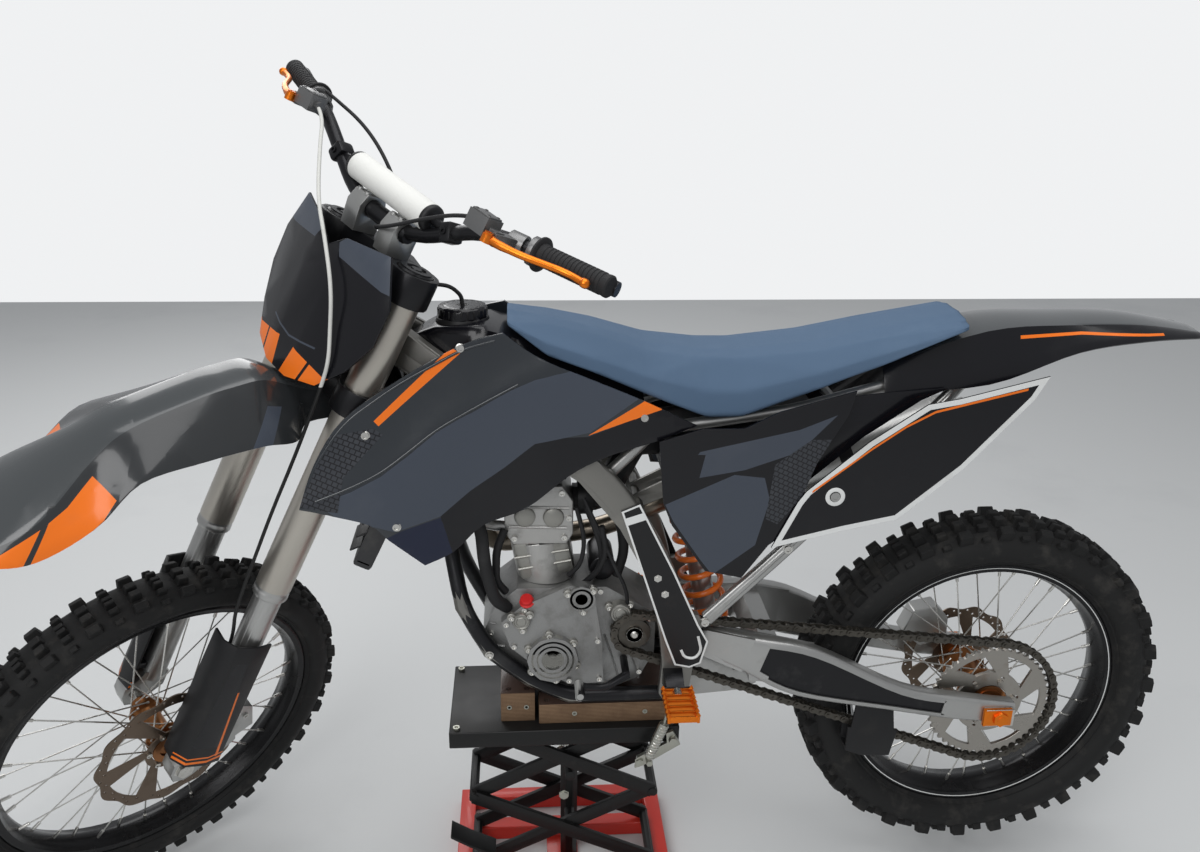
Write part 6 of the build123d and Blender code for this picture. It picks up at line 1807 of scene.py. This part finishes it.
# %% Swingarm
ARM = [
    (597, 79, 157, 26, 36.6), (530, 82, 149, 28.4, 50.6), (455, 99, 131, 30.4, 68.6), (353, 107, 96, 30.4, 96.6),
    (185, 107, 37, 30.4, 50.6), (74, 107, 14, 30.4, 46.6), (-28, 107, 0, 30.4, 42.6),
]
arms = beam("arm", ARM, 9, 3, 5)
pick(arms, lambda c, n: n.y > 0.93 and 0.09 < c.x < 0.43)
bpy.ops.mesh.inset(thickness=8 * MM)
bpy.ops.mesh.extrude_region_move(TRANSFORM_OT_translate={"value": (0, -3.2 * MM, 0)})
leave()
arms.data.materials.append(BRIGHT_METAL)
arms.data.materials.append(BLACK_METAL)
for face in arms.data.polygons:
    if face.select:
        face.material_index = 1
smooth(arms, 30)
core = from_cad("swingarm", BIKE, 0)
pick(core, lambda c, n: c.x < 0.44 and abs(c.y) > 0.0915)
bpy.ops.mesh.delete(type="FACE")
leave()
parts = [coated(smooth(core, 30), BRIGHT_METAL)] + both_sides(arms)
for y in (1, -1):
    face = y * 131.3
    axle_block = block("axle_block", (3, y * 127.2, 0), (53, 8.8, 35), 2.5)
    add(axle_block, ORANGE_METAL)
    add(bolt("axle_nut", (0, face, 0), (0, y, 0), 14, 7, False), ORANGE_METAL)
    for z in (-11, 11):
        add(rod("adjuster", (28, y * 107, z), (-36, y * 107, z), 3.4, 12), SPOKE_STEEL)
        add(bolt("adjuster_nut", (-28, y * 107, z), (-1, 0, 0), 6.5, 5, False), SPOKE_STEEL)
fit(parts, "swingarm_cast", BIKE, "root", None, ("swingarm",))
dress("swingarm_guards", BIKE, "root", BLACK_PLASTIC, 1.5)
print("swingarm done")

# %% [markdown]
# Shock. A damper body with a bright shaft, an orange coil spring between two collars, and the linkage under it.
# The coil is a helix with a round section.

# %% Shock and spring
TOP, FOOT = Vector((562, 0, 428)), Vector((498, 0, 62))
SHOCK = BIKE @ place_from(FOOT, (0, 1, 0), TOP - FOOT)


def coil(name, radius, wire, turns, low, high, sides=12):
    """A helix round the Z axis with a round section."""
    steps = 24
    curve, line = round_curve(name, "POLY", wire, sides)
    count = int(turns * steps)
    line.points.add(count)
    for i, point in enumerate(line.points):
        turn = 2 * pi * i / steps
        point.co = (radius * cos(turn) * MM, radius * sin(turn) * MM, (low + (high - low) * i / count) * MM, 1)
    return curve_mesh(name, curve)


spring = coil("shock_coil", 35, 5.6, 6, 79.8, 294.2)
fit(spring, "shock_coil", SHOCK, "root", SPRING_ORANGE, ("shock_spring",))
body = from_cad("shock", SHOCK, 1.5, 38, 3)
coated(body, BRIGHT_METAL)
collars = [
    turned("collar", [(20, 60), (36, 60), (39.2, 62), (39.2, 72), (37, 74.2), (20, 74.2)], 48),
    turned("collar", [(20, 299.8), (35, 299.8), (37.2, 301), (37.2, 309), (35, 310.2), (20, 310.2)], 48),
]
lock = turned("lock_ring", [(20, 311), (31, 311), (33, 312), (33, 319), (31, 320), (20, 320)], 16)
fit(
    join([body] + [coated(c, BRIGHT_METAL) for c in collars] + [coated(lock, BLACK_METAL)], "shock_body"),
    "shock_body", SHOCK, "root", None, ("shock",)
)

# %% Foot pegs: a frame of thin plates with rows of teeth
parts = []
for y in (1, -1):
    parts += [coated(rod("peg_hinge", (586, y * 160, 96), (586, y * 176, 96), 8, 20), SPOKE_STEEL)]
    for x in (-24, 24):
        add(block("peg_plate", (586 + x, y * 198, 96), (5, 84, 12), 1), ORANGE_METAL)
    for k in range(6):
        add(block("peg_plate", (586, y * (159 + 15.6 * k), 96), (50, 4, 11), 1), ORANGE_METAL)
    for k in range(7):
        for x in (-24, 24):
            bpy.ops.mesh.primitive_cone_add(vertices=4, radius1=4.2 * MM, radius2=0.8 * MM, depth=7 * MM)
            tooth_piece = moved(bpy.context.active_object, at(586 + x, y * (160 + 12.7 * k), 104.5))
            add(tooth_piece, ORANGE_METAL)
brackets = from_cad("footpegs", BIKE, 1.5, 30)
pick(brackets, lambda c, n: abs(c.y) > 0.1572)
bpy.ops.mesh.delete(type="FACE")
leave()
pick(brackets, lambda c, n: True)
bpy.ops.mesh.select_mode(type="EDGE")
bpy.ops.mesh.select_all(action="SELECT")
bpy.ops.mesh.fill_holes(sides=0)
leave()
add(brackets, BLACK_METAL)
fit(parts, "footpeg_pair", BIKE, "root", None, ("footpegs",))

# %% Shift lever and brake pedal
grooves = [(r, -21 + k * 2.1 + s) for k in range(20) for r, s in ((8, 0), (8, 1), (7.2, 1.4), (7.2, 1.9))]
tip = turned("tip", [(0, -22)] + grooves + [(0, 22)], 24, closed=False)
parts = [
    coated(bar("shift_arm", [(664, 112, 102), (706, 120, 80), (750, 124, 88)], 6, 16, 16), BLACK_METAL),
    coated(moved(tip, across((749, 139, 89))), BRIGHT_METAL),
    coated(bar("brake_arm", [(600, -142, 60), (680, -142, 56), (752, -132, 92)], 6.2, 20, 16), BLACK_METAL),
    coated(block("brake_pad", (752, -142, 98), (30, 34, 6), 1), BRIGHT_METAL),
    coated(from_cad("foot_controls", BIKE, 0.8, 40), BLACK_METAL),
]
for k in range(4):
    add(block("pad_tooth", (741 + 7.4 * k, -142, 102.4), (3, 32, 3.4), 0.5), BRIGHT_METAL)
fit(parts, "foot_control_set", BIKE, "root", None, ("foot_controls",))

# %% Calipers
for node, place, body_name, side, spots, mid in (
    ("rear_caliper", BIKE, "root", -1, ((58, 56), (96, 60), (92, 104), (56, 104)), (78, 84)),
    ("front_caliper", FRONT, "steering", 1, ((-36, 2), (-20, -14), (-58, 66), (-38, 74)), (-34, 34)),
):
    parts = [coated(from_cad(node, place, 2.5, 38, 3), BRIGHT_METAL)]
    face = -92 if side < 0 else 80
    for x, z in spots:
        add(bolt("caliper_bolt", (x, face, z), (0, side, 0), 5, 4), SPOKE_STEEL)
    piston = turned("piston_cover", [(0, 5), (8, 5), (9, 3), (12, 3), (14, 2), (15, 0)], 32, closed=False)
    add(moved(piston, across((mid[0], face, mid[1]), side)), BRIGHT_METAL)
    fit(join(parts, node + "_body"), node + "_body", place, body_name, None, (node,))
print("small parts done")

# %% [markdown]
# Lift. A short scissor lift of black arms on a red tube base carries the bike: on its deck lie two film-faced
# plywood blocks under the cradle, with bare edges that show the plies. A zinc hook with a steel spring holds
# the frame down.

# %% Lift steelwork
dress("lift_base", FLOOR, "root", LIFT_RED, 2, 30)
parts = [coated(from_cad("lift_scissor", FLOOR, 1.2, 40), LIFT_BLACK)]
for y in (62, -62):
    for x, z in ((0, 198.5), (165, 42), (-165, 42), (165, 355), (-165, 355)):
        add(bolt("pin_head", (x, y + (4 if y > 0 else -4), z), (0, y, 0), 8, 4, False), ZINC)
add(turned("ram_rod", [(0, 225), (9, 225), (9, 300), (0, 300)], 24, closed=False), SPOKE_STEEL)
moved(parts[-1], at(-12, 0, 0))
add(moved(turned("ram_cap", [(17.3, 0), (19, 1), (19, 13), (17.3, 14)], 32), at(-12, 0, 222)), LIFT_BLACK)
fit(parts, "lift_scissor_arms", FLOOR, "root", None, ("lift_scissor",))
parts = [coated(from_cad("lift_deck", FLOOR, 2, 40), LIFT_BLACK)]
for x in (-190, 190):
    for y in (-92, 92):
        add(bolt("deck_bolt", (x, y, 370), (0, 0, 1), 6, 4), ZINC)
fit(parts, "lift_deck_plate", FLOOR, "root", None, ("lift_deck",))

# %% Wooden blocks
n, l = PLY_EDGE.node_tree.nodes, PLY_EDGE.node_tree.links
layers = n.new("ShaderNodeTexWave")
layers.bands_direction = "Z"
layers.inputs["Scale"].default_value = 110
layers.inputs["Distortion"].default_value = 1.2
layers.inputs["Detail Scale"].default_value = 30
coord = n.new("ShaderNodeTexCoord")
l.new(coord.outputs["Object"], layers.inputs["Vector"])
second_colour(PLY_EDGE, layers.outputs["Fac"], (0.1, 0.055, 0.03))
blocks = []
for x, width, depth, top in ((-80, 250, 170, 409.7), (82, 60, 150, 428.3)):
    low = 370.3
    middle = (low + top) / 2
    wood = block("ply_block", (x, 0, middle), (width, depth, top - low), 0)
    wood.data.materials.append(PLY_FACE)
    wood.data.materials.append(PLY_EDGE)
    for face in wood.data.polygons:
        face.material_index = 0 if abs(face.normal.z) > 0.9 else 1
    soften(wood, 1.2)
    blocks.append(wood)
    for dx in (-width / 2 + 14, width / 2 - 14):
        for y in (-depth / 2 + 14, depth / 2 - 14):
            blocks.append(coated(bolt("wood_screw", (x + dx, y, top - 3), (0, 0, 1), 4.5, 3), ZINC))
    for dx in (-width / 4, width / 4):
        blocks.append(coated(bolt("wood_screw", (x + dx, depth / 2 - 1, middle), (0, 1, 0), 4.5, 2), ZINC))
fit(blocks, "lift_ply_blocks", FLOOR, "root", None, ("lift_pads",))

# %% Hook and its spring
parts = [coated(from_cad("lift_hook", FLOOR, 1.2, 30), ZINC)]
reach = Vector((-172, 126, 392)) - Vector((-147, 125, 324))
small = coil("hook_coil", 8, 1.5, 13, 0, reach.length, 8)
add(moved(small, place_from((-147, 125, 324), (0, 1, 0), reach)), SPOKE_STEEL)
add(bolt("hook_pin", (-132, 113.3, 304), (0, 1, 0), 7, 4, False), ZINC)
fit(parts, "lift_hook_set", FLOOR, "root", None, ("lift_hook",))
print("lift done")

# %% [markdown]
# The workshop floor is only a backdrop: a pale, finely grained sheet under the lift.

# %% Floor
FLOOR_GREY = finish("floor_grey", (0.62, 0.63, 0.63), (0.55, 0.56, 0.565), 0.6, 0.15, bump=0.04, patch=1.5, grain=90)
bpy.ops.mesh.primitive_plane_add(size=9, location=(0, 0, -0.0005))
floor = named(bpy.context.active_object, "workshop_floor")
coated(floor, FLOOR_GREY)

# %% The end: the count of pieces
print("pieces:", len(TABLE))
